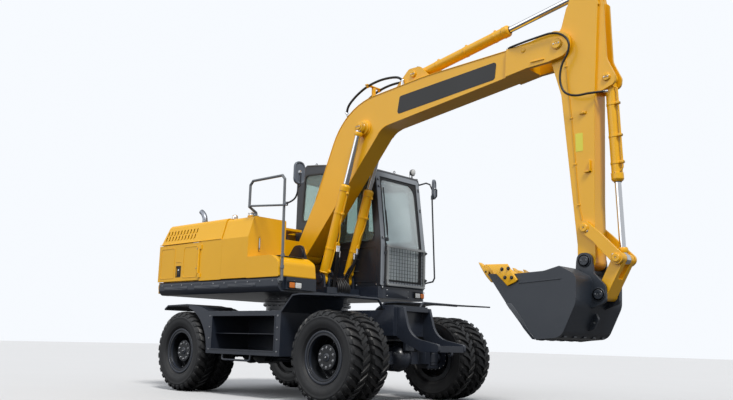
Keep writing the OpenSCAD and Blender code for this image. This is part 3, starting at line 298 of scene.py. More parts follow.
def makePaint(name, look):
    made, tree, shader = newMaterial(name)
    grain = placeGroup(tree, surfaceGrain, Broad_Scale=1.3, Fine_Scale=95.0)
    wear = placeGroup(tree, edgeWearAndHighlight, Width=0.005, Amount=look["wear"])
    dustAndSheen = placeGroup(tree, dustAndSheenFilm, Top_Amount=look["top"],
                      Low_Amount=look["low"], Low_Height=1.4, Patch_Scale=4.5)
    base = mixColour(tree, grain.outputs["Broad"], (*look["colour"], 1), (*look["shade"], 1))
    # edge lines take the bare colour: partly worn paint, partly a painted highlight
    base = mixColour(tree, wear.outputs["Mask"], base, (*look["bare"], 1))
    base = mixColour(tree, dustAndSheen.outputs["Mask"], base, dustColour)
    tree.links.new(base, shader.inputs["Base Color"])
    rough = variedRough(tree, grain.outputs["Broad"], 0.10, look["rough"] - 0.05)
    rough = mathNode(tree, "ADD", rough, mathNode(tree, "MULTIPLY", dustAndSheen.outputs["Mask"], 0.45), True)
    tree.links.new(rough, shader.inputs["Roughness"])
    bump = bumpNode(tree, grain.outputs["Fine"], look["peel"], 0.0006, wear.outputs["Normal"])
    tree.links.new(bump, shader.inputs["Normal"])
    shader.inputs["Coat Weight"].default_value = look["coat"]
    shader.inputs["Coat Roughness"].default_value = 0.12
    return made


def makeRubber(name, colour, pale, rough, low):
    made, tree, shader = newMaterial(name)
    grain = placeGroup(tree, surfaceGrain, Broad_Scale=6.0, Fine_Scale=140.0)
    # upward faces of the tread lighter: partly dust, partly a painted sheen on the tops of the blocks
    dustAndSheen = placeGroup(tree, dustAndSheenFilm, Top_Amount=0.16, Low_Amount=low, Low_Height=1.3, Patch_Scale=9.0)
    base = mixColour(tree, grain.outputs["Broad"], colour, pale)
    base = mixColour(tree, dustAndSheen.outputs["Mask"], base, (0.13, 0.12, 0.105, 1))
    tree.links.new(base, shader.inputs["Base Color"])
    tree.links.new(variedRough(tree, grain.outputs["Fine"], 0.2, rough - 0.1), shader.inputs["Roughness"])
    tree.links.new(bumpNode(tree, grain.outputs["Fine"], 0.35, 0.0012), shader.inputs["Normal"])
    shader.inputs["Specular IOR Level"].default_value = 0.42
    return made


def makeMetal(name, colour, rough, streak, wearColour):
    made, tree, shader = newMaterial(name)
    grain = placeGroup(tree, surfaceGrain, Broad_Scale=5.0, Fine_Scale=220.0)
    base = mixColour(tree, mathNode(tree, "MULTIPLY", grain.outputs["Broad"], streak), colour, wearColour)
    tree.links.new(base, shader.inputs["Base Color"])
    tree.links.new(variedRough(tree, grain.outputs["Broad"], 0.12, rough - 0.06),
                   shader.inputs["Roughness"])
    tree.links.new(bumpNode(tree, grain.outputs["Fine"], 0.10, 0.0004), shader.inputs["Normal"])
    shader.inputs["Metallic"].default_value = 1.0
    return made


def makePlastic(name, colour, shade, rough, bump):
    made, tree, shader = newMaterial(name)
    grain = placeGroup(tree, surfaceGrain, Broad_Scale=3.0, Fine_Scale=260.0)
    dustAndSheen = placeGroup(tree, dustAndSheenFilm, Top_Amount=0.12, Low_Amount=0.05, Low_Height=1.2, Patch_Scale=7.0)
    base = mixColour(tree, grain.outputs["Broad"], colour, shade)
    base = mixColour(tree, dustAndSheen.outputs["Mask"], base, dustColour)
    tree.links.new(base, shader.inputs["Base Color"])
    tree.links.new(variedRough(tree, grain.outputs["Broad"], 0.12, rough - 0.06),
                   shader.inputs["Roughness"])
    tree.links.new(bumpNode(tree, grain.outputs["Fine"], bump, 0.0006), shader.inputs["Normal"])
    return made


def makeGlass(name, colour, rough, clear):
    made, tree, shader = newMaterial(name)
    grain = placeGroup(tree, surfaceGrain, Broad_Scale=0.8, Fine_Scale=9.0)
    base = mixColour(tree, grain.outputs["Broad"], colour, darker(colour, 0.94))
    tree.links.new(base, shader.inputs["Base Color"])
    tree.links.new(variedRough(tree, grain.outputs["Fine"], 0.03, rough), shader.inputs["Roughness"])
    shader.inputs["Transmission Weight"].default_value = clear
    shader.inputs["IOR"].default_value = 1.05
    shader.inputs["Specular IOR Level"].default_value = 0.9
    shader.inputs["Coat Weight"].default_value = 1.0
    shader.inputs["Coat Roughness"].default_value = 0.03
    return made


def makeSeatCloth():
    made, tree, shader = newMaterial("seatCloth")
    grain = placeGroup(tree, surfaceGrain, Broad_Scale=4.0, Fine_Scale=420.0)
    base = mixColour(tree, grain.outputs["Fine"], (0.020, 0.021, 0.024, 1), (0.060, 0.062, 0.068, 1))
    tree.links.new(base, shader.inputs["Base Color"])
    tree.links.new(bumpNode(tree, grain.outputs["Fine"], 0.5, 0.002), shader.inputs["Normal"])
    shader.inputs["Roughness"].default_value = 0.9
    shader.inputs["Sheen Weight"].default_value = 0.3
    return made


# rubber: colour, pale colour, roughness, low dust; metal: colour, roughness, streak, worn colour
# plastic: colour, shade, roughness, bump; glass: colour, roughness, clearness
otherFinishes = {
    "tyreRubber": (makeRubber, (0.007, 0.0078, 0.0095, 1), (0.013, 0.014, 0.0165, 1), 0.46, 0.10),
    "hoseRubber": (makeRubber, (0.008, 0.008, 0.009, 1), (0.016, 0.016, 0.018, 1), 0.45, 0.15),
    "rodChrome": (makeMetal, (0.80, 0.81, 0.83, 1), 0.14, 0.2, (0.62, 0.63, 0.66, 1)),
    "boltSteel": (makeMetal, (0.42, 0.43, 0.45, 1), 0.35, 0.6, (0.22, 0.22, 0.23, 1)),
    "exhaustSteel": (makeMetal, (0.34, 0.37, 0.42, 1), 0.42, 0.7, (0.20, 0.20, 0.22, 1)),
    "trimBlack": (makePlastic, (0.014, 0.015, 0.017, 1), (0.020, 0.021, 0.024, 1), 0.5, 0.2),
    "engineCast": (makePlastic, (0.08, 0.085, 0.09, 1), (0.05, 0.05, 0.055, 1), 0.7, 0.5),
    "lampLens": (makePlastic, (0.78, 0.80, 0.80, 1), (0.68, 0.70, 0.71, 1), 0.15, 0.05),
    "amberLens": (makePlastic, (0.80, 0.22, 0.02, 1), (0.66, 0.17, 0.02, 1), 0.2, 0.05),
    "redLens": (makePlastic, (0.55, 0.02, 0.015, 1), (0.42, 0.015, 0.012, 1), 0.2, 0.05),
    "mirrorFace": (makeMetal, (0.86, 0.88, 0.90, 1), 0.07, 0.1, (0.80, 0.82, 0.84, 1)),
    "glassClear": (makeGlass, (0.62, 0.76, 0.73, 1), 0.02, 0.86),
    "glassPale": (makeGlass, (0.74, 0.82, 0.85, 1), 0.03, 0.5),
}
materials = {name: makePaint(name, look) for name, look in paints.items()}
for name, (makeFinish, *values) in otherFinishes.items():
    materials[name] = makeFinish(name, *values)
materials["seatCloth"] = makeSeatCloth()
print("materials made:", len(materials))

# Which finish each CAD node takes; a node that a piece stands for keeps its own under it
nodeFinish = {
    "paintGrey": ["chassis", "side_boxes", "front_axle", "rear_axle", "transmission", "knuckle_right",
                  "knuckle_left", "upper_frame"],
    "rimDark": ["rims_front_right", "rims_front_left", "rims_rear_right", "rims_rear_left"],
    "paintYellow": ["counterweight", "engine_bay", "tank", "front_box", "engine_door", "cooler_door",
                    "bonnet", "boom", "boom_barrels", "arm_barrel", "arm", "bucket_barrel", "rocker",
                    "bucket_link", "teeth"],
    "cabGrey": ["cab_shell", "cab_door", "front_guard", "grab_rail"],
    "railGrey": ["handrail"],
    "bucketGrey": ["bucket"],
    "rodChrome": ["steering_rod", "boom_rods", "arm_rod", "bucket_rod"],
    "tyreRubber": ["tyres_front_right", "tyres_front_left", "tyres_rear_right", "tyres_rear_left"],
    "glassClear": ["cab_glass", "door_glass"],
    "trimBlack": ["mirrors"],
    "seatCloth": ["cab_interior"],
    "engineCast": ["engine"],
    "exhaustSteel": ["exhaust"],
    "lampLens": ["lamps"],
    "hoseRubber": ["hoses"],
}
for finish, members in nodeFinish.items():
    for member in members:
        if member in nodes:
            nodes[member].data.materials.clear()
            nodes[member].data.materials.append(materials[finish])
print("CAD nodes finished")

# Mesh kit: pieces are drawn in the source's millimetres and become metres when they are made


def alongAxis(origin, axis):
    # a frame whose Z points along axis
    return Matrix.Translation(Vector(origin)) @ Vector(axis).to_track_quat("Z", "Y").to_matrix().to_4x4()


def ringAngles(count, shift=0.0):
    # evenly spaced turns, shifted by a share of a step
    return [2 * math.pi * (k + shift) / count for k in range(count)]


def joinRings(bm, rings, mat=0, ends=False):
    # quads between closed rings of one count, with a face at both ends where asked
    count = len(rings[0])
    for a, b in zip(rings, rings[1:]):
        for i in range(count):
            j = (i + 1) % count
            bm.faces.new((a[i], a[j], b[j], b[i])).material_index = mat
    if ends:
        bm.faces.new(rings[0]).material_index = mat
        bm.faces.new(rings[-1]).material_index = mat


def addTurned(bm, profile, origin, axis, steps=32, mat=0):
    # profile rows are (radius, distance along the axis)
    place = alongAxis(origin, axis)
    rings = []
    for radius, reach in profile:
        if radius < 0.01:
            rings.append([bm.verts.new(place @ Vector((0, 0, reach)))])
        else:
            rings.append([
                bm.verts.new(place @ Vector((radius * math.cos(t), radius * math.sin(t), reach)))
                for t in ringAngles(steps)
            ])
    for a, b in zip(rings, rings[1:]):
        if len(a) == 1 and len(b) == 1:
            continue
        for i in range(steps):
            j = (i + 1) % steps
            if len(a) == 1:
                corners = (a[0], b[i], b[j])
            elif len(b) == 1:
                corners = (a[i], b[0], a[j])
            else:
                corners = (a[i], b[i], b[j], a[j])
            bm.faces.new(corners).material_index = mat


def addBlock(bm, low, high, mat=0, round=0.0):
    # low and high are opposite corners, in any order
    verts = bmesh.ops.create_cube(bm, size=1.0)["verts"]
    low, high = (Vector([pick(pair) for pair in zip(low, high)]) for pick in (min, max))
    for v in verts:
        v.co = Vector([(low[i] + high[i]) / 2 + v.co[i] * (high[i] - low[i]) for i in range(3)])
    edges = list({e for v in verts for e in v.link_edges})
    faces = list({f for v in verts for f in v.link_faces})
    if round > 0:
        result = bmesh.ops.bevel(bm, geom=edges, offset=round, segments=2, profile=0.5, affect="EDGES")
        faces = list(set(result["faces"]) | {f for f in faces if f.is_valid})
        verts = list({v for f in faces for v in f.verts})
    for f in faces:
        f.material_index = mat
    return verts


upAxis, frontAxis, leftAxis, rightAxis = (0, 0, 1), (1, 0, 0), (0, 1, 0), (0, -1, 0)
sidePlane = Matrix(((1, 0, 0, 0), (0, 0, 1, 0), (0, 1, 0, 0), (0, 0, 0, 1)))  # (x, z, y) to the row's axes
crossPlane = Matrix(((0, 0, 1, 0), (1, 0, 0, 0), (0, 1, 0, 0), (0, 0, 0, 1)))  # (y, z, x)
planPlane = Matrix.Identity(4)  # (x, y, z)


def addPlate(bm, outline, start, end, plane=sidePlane, mat=0, round=0.0, segments=2):
    # outline is drawn in the plane and reaches from start to end across it, in any order
    start, end = sorted((start, end))
    low = [bm.verts.new((u, v, start)) for u, v in outline]
    high = [bm.verts.new((u, v, end)) for u, v in outline]
    faces = [bm.faces.new(low[::-1]), bm.faces.new(high)]
    n = len(outline)
    for i in range(n):
        j = (i + 1) % n
        faces.append(bm.faces.new((low[i], low[j], high[j], high[i])))
    verts = low + high
    if round > 0:
        edges = list({e for f in faces[:2] for e in f.edges})
        result = bmesh.ops.bevel(bm, geom=edges, offset=round, segments=segments, profile=0.5,
                                 affect="EDGES")
        faces = list({f for f in faces if f.is_valid} | set(result["faces"]))
        verts = list({v for f in faces for v in f.verts})
    for f in faces:
        f.material_index = mat
    for v in verts:
        v.co = plane @ v.co
    return verts


def turnedPlace(spot, degrees, axis="Z"):
    return Matrix.Translation(spot) @ Matrix.Rotation(math.radians(degrees), 4, axis)


def smoothPath(points, step=0.22):
    # a round curve through the points
    p = [Vector(q) for q in points]
    p = [p[0] * 2 - p[1]] + p + [p[-1] * 2 - p[-2]]
    path = []
    for a, b, c, d in zip(p, p[1:], p[2:], p[3:]):
        t = 0.0
        while t < 0.999:
            first, second, third = c - a, 2 * a - 5 * b + 4 * c - d, 3 * b - a - 3 * c + d
            path.append(0.5 * (2 * b + first * t + second * t * t + third * t ** 3))
            t += step
    return path + [p[-2]]


def bentPath(points, radius, steps=5):
    # straight runs with round bends, as a pipe is bent
    p = [Vector(q) for q in points]
    path = [p[0]]
    for a, b, c in zip(p, p[1:], p[2:]):
        back, on = (a - b), (c - b)
        reach = min(radius, back.length * 0.48, on.length * 0.48)
        start, end = b + back.normalized() * reach, b + on.normalized() * reach
        for i in range(steps + 1):
            t = i / steps
            path.append(start * (1 - t) ** 2 + b * 2 * t * (1 - t) + end * t * t)
    return path + [p[-1]]


def addTube(bm, path, radius, mat=0, steps=12, hollow=0.0):
    path = [Vector(q) for q in path]
    n = len(path)
    heads = [(path[min(i + 1, n - 1)] - path[max(i - 1, 0)]).normalized() for i in range(n)]
    side = heads[0].orthogonal().normalized()
    rings = []
    for i, head in enumerate(heads):
        if i:
            side = (heads[i - 1].rotation_difference(head) @ side).normalized()
        up = head.cross(side)
        rings.append([
            bm.verts.new(path[i] + (side * math.cos(t) + up * math.sin(t)) * radius)
            for t in ringAngles(steps)
        ])
    joinRings(bm, rings, mat)
    bm.faces.new(rings[0][::-1]).material_index = mat
    if hollow > 0:
        # the far end is open, with a wall thickness
        inner = [bm.verts.new(path[-1] + (v.co - path[-1]) * (1 - hollow / radius)) for v in rings[-1]]
        deep = [bm.verts.new(v.co - heads[-1] * radius * 1.6) for v in inner]
        joinRings(bm, [rings[-1], inner, deep], mat)
        bm.faces.new(deep).material_index = mat
    else:
        bm.faces.new(rings[-1]).material_index = mat


def addPipe(bm, points, bend, radius, mat=0, steps=12):
    addTube(bm, bentPath(points, bend), radius, mat, steps)


def addHose(bm, points, step, radius, mat=0, steps=12):
    addTube(bm, smoothPath(points, step), radius, mat, steps)


def addBolt(bm, origin, axis, size=14, mat=0):
    # washer and hexagon head
    washer = [(0, 0), (0.85, 0), (0.85, 0.14), (0, 0.14)]
    head = [(0, 0), (0.62, 0), (0.62, 0.55), (0.5, 0.66), (0, 0.66)]
    for profile, sides in ((washer, 16), (head, 6)):
        addTurned(bm, [(size * r, size * reach) for r, reach in profile], origin, axis, sides, mat)


def addFitting(bm, origin, axis, radius, mat=0):
    # crimped collar and hexagon nut at a hose's end
    addTurned(bm, [(radius * 0.9, 0), (radius * 1.35, 4), (radius * 1.35, radius * 2.2),
                   (radius * 1.1, radius * 2.5), (radius * 1.1, radius * 2.8), (0, radius * 2.8)],
              origin, axis, 14, mat)
    tip = Vector(origin) + Vector(axis).normalized() * radius * 2.7
    addTurned(bm, [(0, 0), (radius * 1.5, 0), (radius * 1.5, radius * 1.2), (0, radius * 1.2)],
              tip, axis, 6, mat)


def makePiece(bm, name, body, finishes, round=0.0, angle=38, stands=()):
    for v in bm.verts:
        v.co = at(*v.co)
    bmesh.ops.dissolve_degenerate(bm, dist=2e-6, edges=bm.edges)
    bmesh.ops.recalc_face_normals(bm, faces=bm.faces)
    mesh = bpy.data.meshes.new(name)
    bm.to_mesh(mesh)
    bm.free()
    for finish in finishes:
        mesh.materials.append(materials[finish])
    for p in mesh.polygons:
        p.use_smooth = True
    mesh.set_sharp_from_angle(angle=math.radians(angle))
    piece = bpy.data.objects.new(name, mesh)
    bpy.context.scene.collection.objects.link(piece)
    if round > 0:
        bevel = piece.modifiers.new("edges", "BEVEL")
        bevel.width = round / 1000
        bevel.segments = 2
        bevel.limit_method = "ANGLE"
        bevel.angle_limit = math.radians(40)
    if body:
        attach(piece, body)
    if stands:
        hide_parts(*stands)
    return piece


# Tyres: a turned carcass with angled blocks on each shoulder; wall rows are (radius, half width)
frontAxle, rearAxle, axleHeight = 1380, -1380, 522
twinTyres = (1137, 817)  # the middles of a wheel's two tyres
wheels = {"front_right": (frontAxle, -1), "front_left": (frontAxle, 1),
          "rear_right": (rearAxle, -1), "rear_left": (rearAxle, 1)}
tyre = {
    "blocks": 30, "floor": 497, "skew": 0.95, "steps": 150,
    "wall": [(256, 84), (259, 91), (292, 93), (300, 99), (306, 108), (318, 117), (324, 123), (330, 124),
             (350, 131), (378, 135.5), (405, 136), (428, 134.5), (434, 136), (440, 136), (446, 133),
             (462, 129), (478, 121), (490, 108), (496, 88), (497, 44), (497, 0)],
}


def pieceLabel(name):
    # front_right becomes FrontRight
    return "".join(part.capitalize() for part in name.split("_"))


def addBlockOfTread(bm, centre, x, angle, side, look):
    # stations from inside the tread's middle to down the shoulder: reach from the middle, radius,
    # and the block's share of the pitch
    pitch = 2 * math.pi / look["blocks"]
    stations = [(-6, 522, 0.52), (30, 523, 0.46), (62, 521, 0.56), (98, 516, 0.62), (118, 505, 0.64),
                (129, 486, 0.62), (134, 462, 0.56)]
    rows = []
    for y, top, share in stations:
        middle = angle + pitch * look["skew"] * (y / 134) - (0.10 * pitch if y > 90 else 0)
        half = pitch * share / 2
        base = look["floor"] - 6 if y < 110 else top - 26
        ring = []
        for radius, turn in ((base, -half), (top - 5, -half + 0.006), (top, -half + 0.014),
                             (top, half - 0.014), (top - 5, half - 0.006), (base, half)):
            t = middle + turn
            inward = 12 if (y > 110 and radius == base) else 0
            spot = (x + radius * math.cos(t), centre + side * (y - inward),
                    axleHeight + radius * math.sin(t))
            ring.append(bm.verts.new(spot))
        rows.append(ring)
    for a, b in zip(rows, rows[1:]):
        for i in range(5):
            bm.faces.new((a[i], a[i + 1], b[i + 1], b[i]))
    bm.faces.new(rows[0])
    bm.faces.new(rows[-1])


def makeTyres(name, x, hand, look):
    bm = bmesh.new()
    for centre in twinTyres:
        y = centre * hand
        profile = look["wall"] + [(r, -w) for r, w in look["wall"][-2::-1]]
        addTurned(bm, profile + [profile[0]], (x, y, axleHeight), leftAxis, look["steps"])
        for side in (1, -1):
            for turn in ringAngles(look["blocks"], 0.5 if side > 0 else 0):
                addBlockOfTread(bm, y, x, turn, side, look)
    bmesh.ops.remove_doubles(bm, verts=bm.verts, dist=0.01)
    makePiece(bm, "tyres" + pieceLabel(name), "wheel_" + name, ["tyreRubber"], angle=30,
              stands=["tyres_" + name])


hub = {"face": 1183, "bolts": 10, "boltCircle": 108, "studs": 10, "studCircle": 172, "discFace": 989}


def makeHub(name, x, hand, look):
    bm = bmesh.new()
    out = (0, hand, 0)
    face = hand * look["face"]
    for t in ringAngles(look["bolts"], 0.5):
        reach = look["boltCircle"]
        addBolt(bm, (x + reach * math.cos(t), face, axleHeight + reach * math.sin(t)), out, 19, 1)
    capProfile = [(20, 0), (46, 0), (46, 5), (40, 9), (24, 9), (24, 12.5)]
    addTurned(bm, capProfile, (x, face, axleHeight), out, 32, 0)
    addTurned(bm, [(0, 0), (11, 0), (11, 9), (8, 12), (0, 12)],
              (x, face + hand * 12, axleHeight), out, 6, 1)
    addTurned(bm, [(134, -14), (139, -12), (139, -3), (134, -1)], (x, face, axleHeight), out, 48, 0)
    for t in ringAngles(look["studs"]):
        reach = look["studCircle"]
        spot = (x + reach * math.cos(t), hand * look["discFace"], axleHeight + reach * math.sin(t))
        addBolt(bm, spot, out, 24, 1)
        addTurned(bm, [(9, 0), (9, 34), (7, 37), (0, 37)], spot, out, 10, 1)
    for centre in twinTyres:
        # lock ring on the rim's outer lip and its bead seat
        addTurned(bm, [(268, 98), (270, 104), (285, 107), (293, 104), (296, 97)],
                  (x, hand * centre, axleHeight), out, 72, 0)
        addTurned(bm, [(240, 60), (250, 84), (254, 98.4), (246, 98.4), (238, 84), (236, 60)],
                  (x, hand * centre, axleHeight), out, 72, 0)
    # valve
    addPipe(bm, [(x + 60, hand * 1110, axleHeight - 228), (x + 60, hand * 1180, axleHeight - 226),
                 (x + 52, hand * 1222, axleHeight - 205)], 14, 5, 1, 8)
    makePiece(bm, "hub" + pieceLabel(name), "wheel_" + name, ["paintGrey", "boltSteel"])


for wheelName, (wheelX, wheelHand) in wheels.items():
    makeTyres(wheelName, wheelX, wheelHand, tyre)
    makeHub(wheelName, wheelX, wheelHand, hub)
print("wheels made")

# Hood: louvres, panel seams, latches, caps, exhaust
bodySide = 1220  # half the width of the upper structure
# rows of louvres: underside, top, the first one's middle, number
louvre = {"rows": ((2118, 2180, -1955, 10), (2040, 2100, -1972, 10)), "pitch": 77, "width": 30,
          "depth": 12.5}


def hoodSlope(z, hand):
    # the bonnet's leaning side at a height
    share = (z - 1979) / (2270 - 1979)
    return hand * (bodySide - 80 * share)


def makeLouvres(hand, look):
    bm = bmesh.new()
    for low, high, first, count in look["rows"]:
        for k in range(count):
            x = first + k * look["pitch"]
            # dark slot, a black face that paints the shade inside the pocket, and the pressed lip that
            # leans over it
            paintedShadeSlot = []
            for z in (low, high):
                for dx in (-1, 1):
                    spot = (x + dx * look["width"] / 2, hoodSlope(z, hand) - hand * look["depth"], z)
                    paintedShadeSlot.append(bm.verts.new(spot))
            bm.faces.new((paintedShadeSlot[0], paintedShadeSlot[1], paintedShadeSlot[3], paintedShadeSlot[2])).material_index = 1
            lip = []
            for z in (low, high):
                y = hoodSlope(z, hand)
                for dx, out in ((-0.42, 0.0), (-0.42, 6.0), (-0.1, 10.0), (0.14, 6.0), (0.10, 2.0)):
                    lip.append(bm.verts.new((x + dx * look["width"] - 4, y + hand * out, z)))
            for i in range(4):
                bm.faces.new((lip[i], lip[i + 1], lip[i + 6], lip[i + 5]))
            bm.faces.new(lip[0:5])
            bm.faces.new(lip[5:10])
    makePiece(bm, "louvres" + ("Left" if hand > 0 else "Right"), "bonnet",
              ["paintYellow", "trimBlack"])


makeLouvres(-1, louvre)
makeLouvres(1, louvre)


def makeLatch(name, x, hand, body):
    bm = bmesh.new()
    y = hand * (bodySide - 11.5)
    addBlock(bm, (x + 2, y, 1524), (x + 108, y + hand * 2, 1660), 0, 0.8)
    shell = [(x + 20, 1538), (x + 90, 1538), (x + 90, 1622), (x + 55, 1648), (x + 20, 1622)]
    addPlate(bm, shell, y, y + hand * 9, sidePlane, 0, 2)
    addTurned(bm, [(14, 0), (14, 4), (10, 6), (0, 6)],
              (x + 55, y + hand * 8.5, 1610), (0, hand, 0), 20, 1)
    frameOut = [(x - 9, 1513), (x + 119, 1513), (x + 119, 1671), (x - 9, 1671)]
    frameIn = [(x + 1, 1523), (x + 109, 1523), (x + 109, 1661), (x + 1, 1661)]
    face = hand * (bodySide + 0.2)
    outer = [bm.verts.new((u, face, v)) for u, v in frameOut]
    crest = [bm.verts.new(((a[0] + b[0]) / 2, face + hand * 3.5, (a[1] + b[1]) / 2))
             for a, b in zip(frameOut, frameIn)]
    inner = [bm.verts.new((u, face - hand * 1.0, v)) for u, v in frameIn]
    for i in range(4):
        j = (i + 1) % 4
        bm.faces.new((outer[i], outer[j], crest[j], crest[i]))
        bm.faces.new((crest[i], crest[j], inner[j], inner[i]))
    makePiece(bm, name, body, ["trimBlack", "rodChrome"])


makeLatch("engineDoorLatch", -1644, -1, "engine_door")
makeLatch("coolerDoorLatch", -1400, 1, "cooler_door")


def makeHoodTrim():
    bm = bmesh.new()
    # folded edge of the bonnet over the doors, on both sides
    for hand, x in ((-1, -640), (1, -965)):
        y = hand * (bodySide + 1.5)
        addTube(bm, [(-2086, y, 1984), (x, y, 1984)], 4.5, 0, 8)
    # lifting eyes and grab bars on top
    x = -1900
    for y in (-620, 620):
        bar = bentPath([(x, y - 70, 2268), (x, y - 70, 2312), (x, y + 70, 2312), (x, y + 70, 2268)], 22)
        addTube(bm, bar, 8, 1, 10)
        for dy in (-70, 70):
            addTurned(bm, [(18, 0), (18, 4), (9, 6)], (x, y + dy, 2269), upAxis, 16, 1)
    # raised lid over the engine with its bolts
    addPlate(bm, [(-1780, -520), (-1060, -520), (-1060, 150), (-1780, 150)],
             2268, 2292, planPlane, 0, 8, 3)
    for x in (-1750, -1420, -1090):
        for y in (-490, 120):
            addBolt(bm, (x, y, 2291.5), upAxis, 12, 1)
    makePiece(bm, "hoodTrim", "bonnet", ["paintYellow", "railGrey"])


makeHoodTrim()


def makeExhaust():
    bm = bmesh.new()
    x, y, foot = -1400, -960, 2270.3
    path = [(x, y, foot), (x, y, 2330), (x - 20, y, 2388), (x - 62, y, 2436), (x - 100, y, 2462)]
    addTube(bm, smoothPath(path, 0.25), 36, 0, 28, hollow=4)
    addTurned(bm, [(37, 0), (62, 0.4), (62, 5), (40, 9), (37, 30)], (x, y, foot), upAxis, 32, 0)
    addTurned(bm, [(37, 0), (41, 1), (41, 12), (37, 13)], (x, y, 2308), upAxis, 28, 1)
    for t in ringAngles(4, 0.5):
        addBolt(bm, (x + 52 * math.cos(t), y + 52 * math.sin(t), 2275.4), upAxis, 9, 1)
    makePiece(bm, "exhaustPipe", "bonnet", ["exhaustSteel", "boltSteel"],
              stands=["exhaust"])


makeExhaust()


def makeTankCaps():
    bm = bmesh.new()
    addTurned(bm, [(36, 0), (38, 2), (38, 12), (40, 14), (40, 26), (36, 40), (26, 52), (12, 59), (0, 61)],
              (-540, -1090, 2251), upAxis, 32, 0)
    addTurned(bm, [(67, 0), (70, 2), (70, 6), (66, 8), (53, 9)], (-230, -1040, 2256), upAxis, 40, 1)
    addTurned(bm, [(52, 0), (54, 2), (54, 28), (62, 30), (64, 36), (62, 44), (50, 50), (20, 53), (0, 53)],
              (-230, -1040, 2264), upAxis, 40, 0)
    addPlate(bm, [(-262, -8), (-198, -8), (-198, 8), (-262, 8)],
             2316, 2330, Matrix.Translation((0, -1040, 0)), 0, 3)
    # level glass and drain on the tank's front
    addBlock(bm, (-69.6, -1052, 1800), (-62, -1028, 1990), 2, 3)
    for z in (1812, 1978):
        addBolt(bm, (-63, -1040, z), frontAxis, 12, 1)
    makePiece(bm, "tankCaps", "upper", ["rodChrome", "paintYellow", "trimBlack"])


makeTankCaps()
print("hood pieces made")

# Working arm: points are (x, z) in side view
boomCylBase, boomCylTop, boomNose = (270, 1496), (875, 3462), (3715, 3900)
armCylBase, armCylTop, bucketPivot, rockerPivot = (1660, 4045), (4020, 4485), (3965, 1553), (3965, 1885)
rockerEnd, linkLow, bucketCylTop = (4297, 1565), (4108, 1215), (4225, 3435)


def lineFrame(start, end, y=0.0, back=False):
    # X runs along the cylinder, Z up from it, as the source's along() and along_back()
    a, b = Vector((start[0], y, start[1])), Vector((end[0], y, end[1]))
    head = (b - a).normalized()
    up = Vector((-head.z, 0, head.x))
    turn = Matrix((head, Vector(leftAxis), up)).transposed().to_4x4()
    return Matrix.Translation(b if back else a) @ turn


def placed(line, point):
    return line @ Vector(point)


def heading(line, axis=frontAxis):
    # an axis of a frame, in the row frame
    return line.to_3x3() @ Vector(axis)


def addRingAt(bm, line, profile, reach, steps=32, mat=0):
    # a turned ring on the cylinder's own line
    origin = placed(line, (reach, 0, 0))
    addTurned(bm, profile, origin, heading(line), steps, mat)


def addPinCap(bm, point, y, hand, radius, mat=0, bolt=1, plate=True):
    # pin end with its keeper plate and bolts
    x, z = point
    addTurned(bm, [(0, 0), (radius, 0), (radius, 5), (radius - 4, 9), (radius * 0.35, 9),
                   (radius * 0.3, 6), (0, 6)], (x, y, z), (0, hand, 0), 32, mat)
    if plate:
        for dx in (-0.55, 0.55):
            addBolt(bm, (x + dx * radius, y + hand * 8.8, z), (0, hand, 0), 11, bolt)
    addTurned(bm, [(0, 0), (5, 0), (5, 8), (3, 10), (0, 10)],
              (x, y + hand * 6, z), (0, hand, 0), 10, bolt)


# a barrel's length and radius, and its rod's radius
cylinders = {"boom": (1262, 63, 36), "arm": (1370, 63, 36), "bucket": (1070, 56, 32)}


def addBarrelTrim(bm, line, length, tubeR, rodR):
    # gland nut with its wiper, head flange, and the weld ring at the base
    addRingAt(bm, line, [(tubeR - 1, -70), (tubeR + 6, -66), (tubeR + 6, -6), (tubeR + 1, 0),
                         (tubeR + 1, 4), (tubeR - 5, 10), (rodR + 12, 12), (rodR + 8, 20),
                         (rodR + 0.8, 21)], length, 40, 0)
    addRingAt(bm, line, [(rodR + 0.6, 18), (rodR + 6, 19), (rodR + 5, 26), (rodR + 0.6, 27)],
              length, 32, 2)
    addRingAt(bm, line, [(tubeR - 1, 92), (tubeR + 5, 97), (tubeR + 4, 106), (tubeR - 1, 112)], 0, 40, 0)
    for t in ringAngles(6):
        spot = placed(line, (length - 68, (tubeR + 3) * math.cos(t), (tubeR + 3) * math.sin(t)))
        addTurned(bm, [(0, 0), (6, 0), (6, 3.5), (0, 3.5)], spot, heading(line, (-1, 0, 0)), 8, 1)


def addLine(bm, line, rows, radius, mat=0, bend=30, steps=10):
    addPipe(bm, [placed(line, row) for row in rows], bend, radius, mat, steps)


def addClamp(bm, line, reach, tubeR, y, z, mat=0, bolt=1):
    # band round the tube with the saddle that holds the pipe
    addRingAt(bm, line, [(tubeR + 0.5, -12), (tubeR + 4, -11), (tubeR + 4, 11), (tubeR + 0.5, 12)],
              reach, 32, mat)
    verts = addBlock(bm, (-14, -20, -20), (14, 20, 20), mat, 3)
    turn = Matrix.Translation(placed(line, (reach, y, z))) @ line.to_3x3().to_4x4()
    for v in verts:
        v.co = turn @ v.co
    addBolt(bm, placed(line, (reach, y, z + 20)), heading(line, upAxis), 10, bolt)


boomPipes = {"radius": 9, "inner": 34, "front": -66}


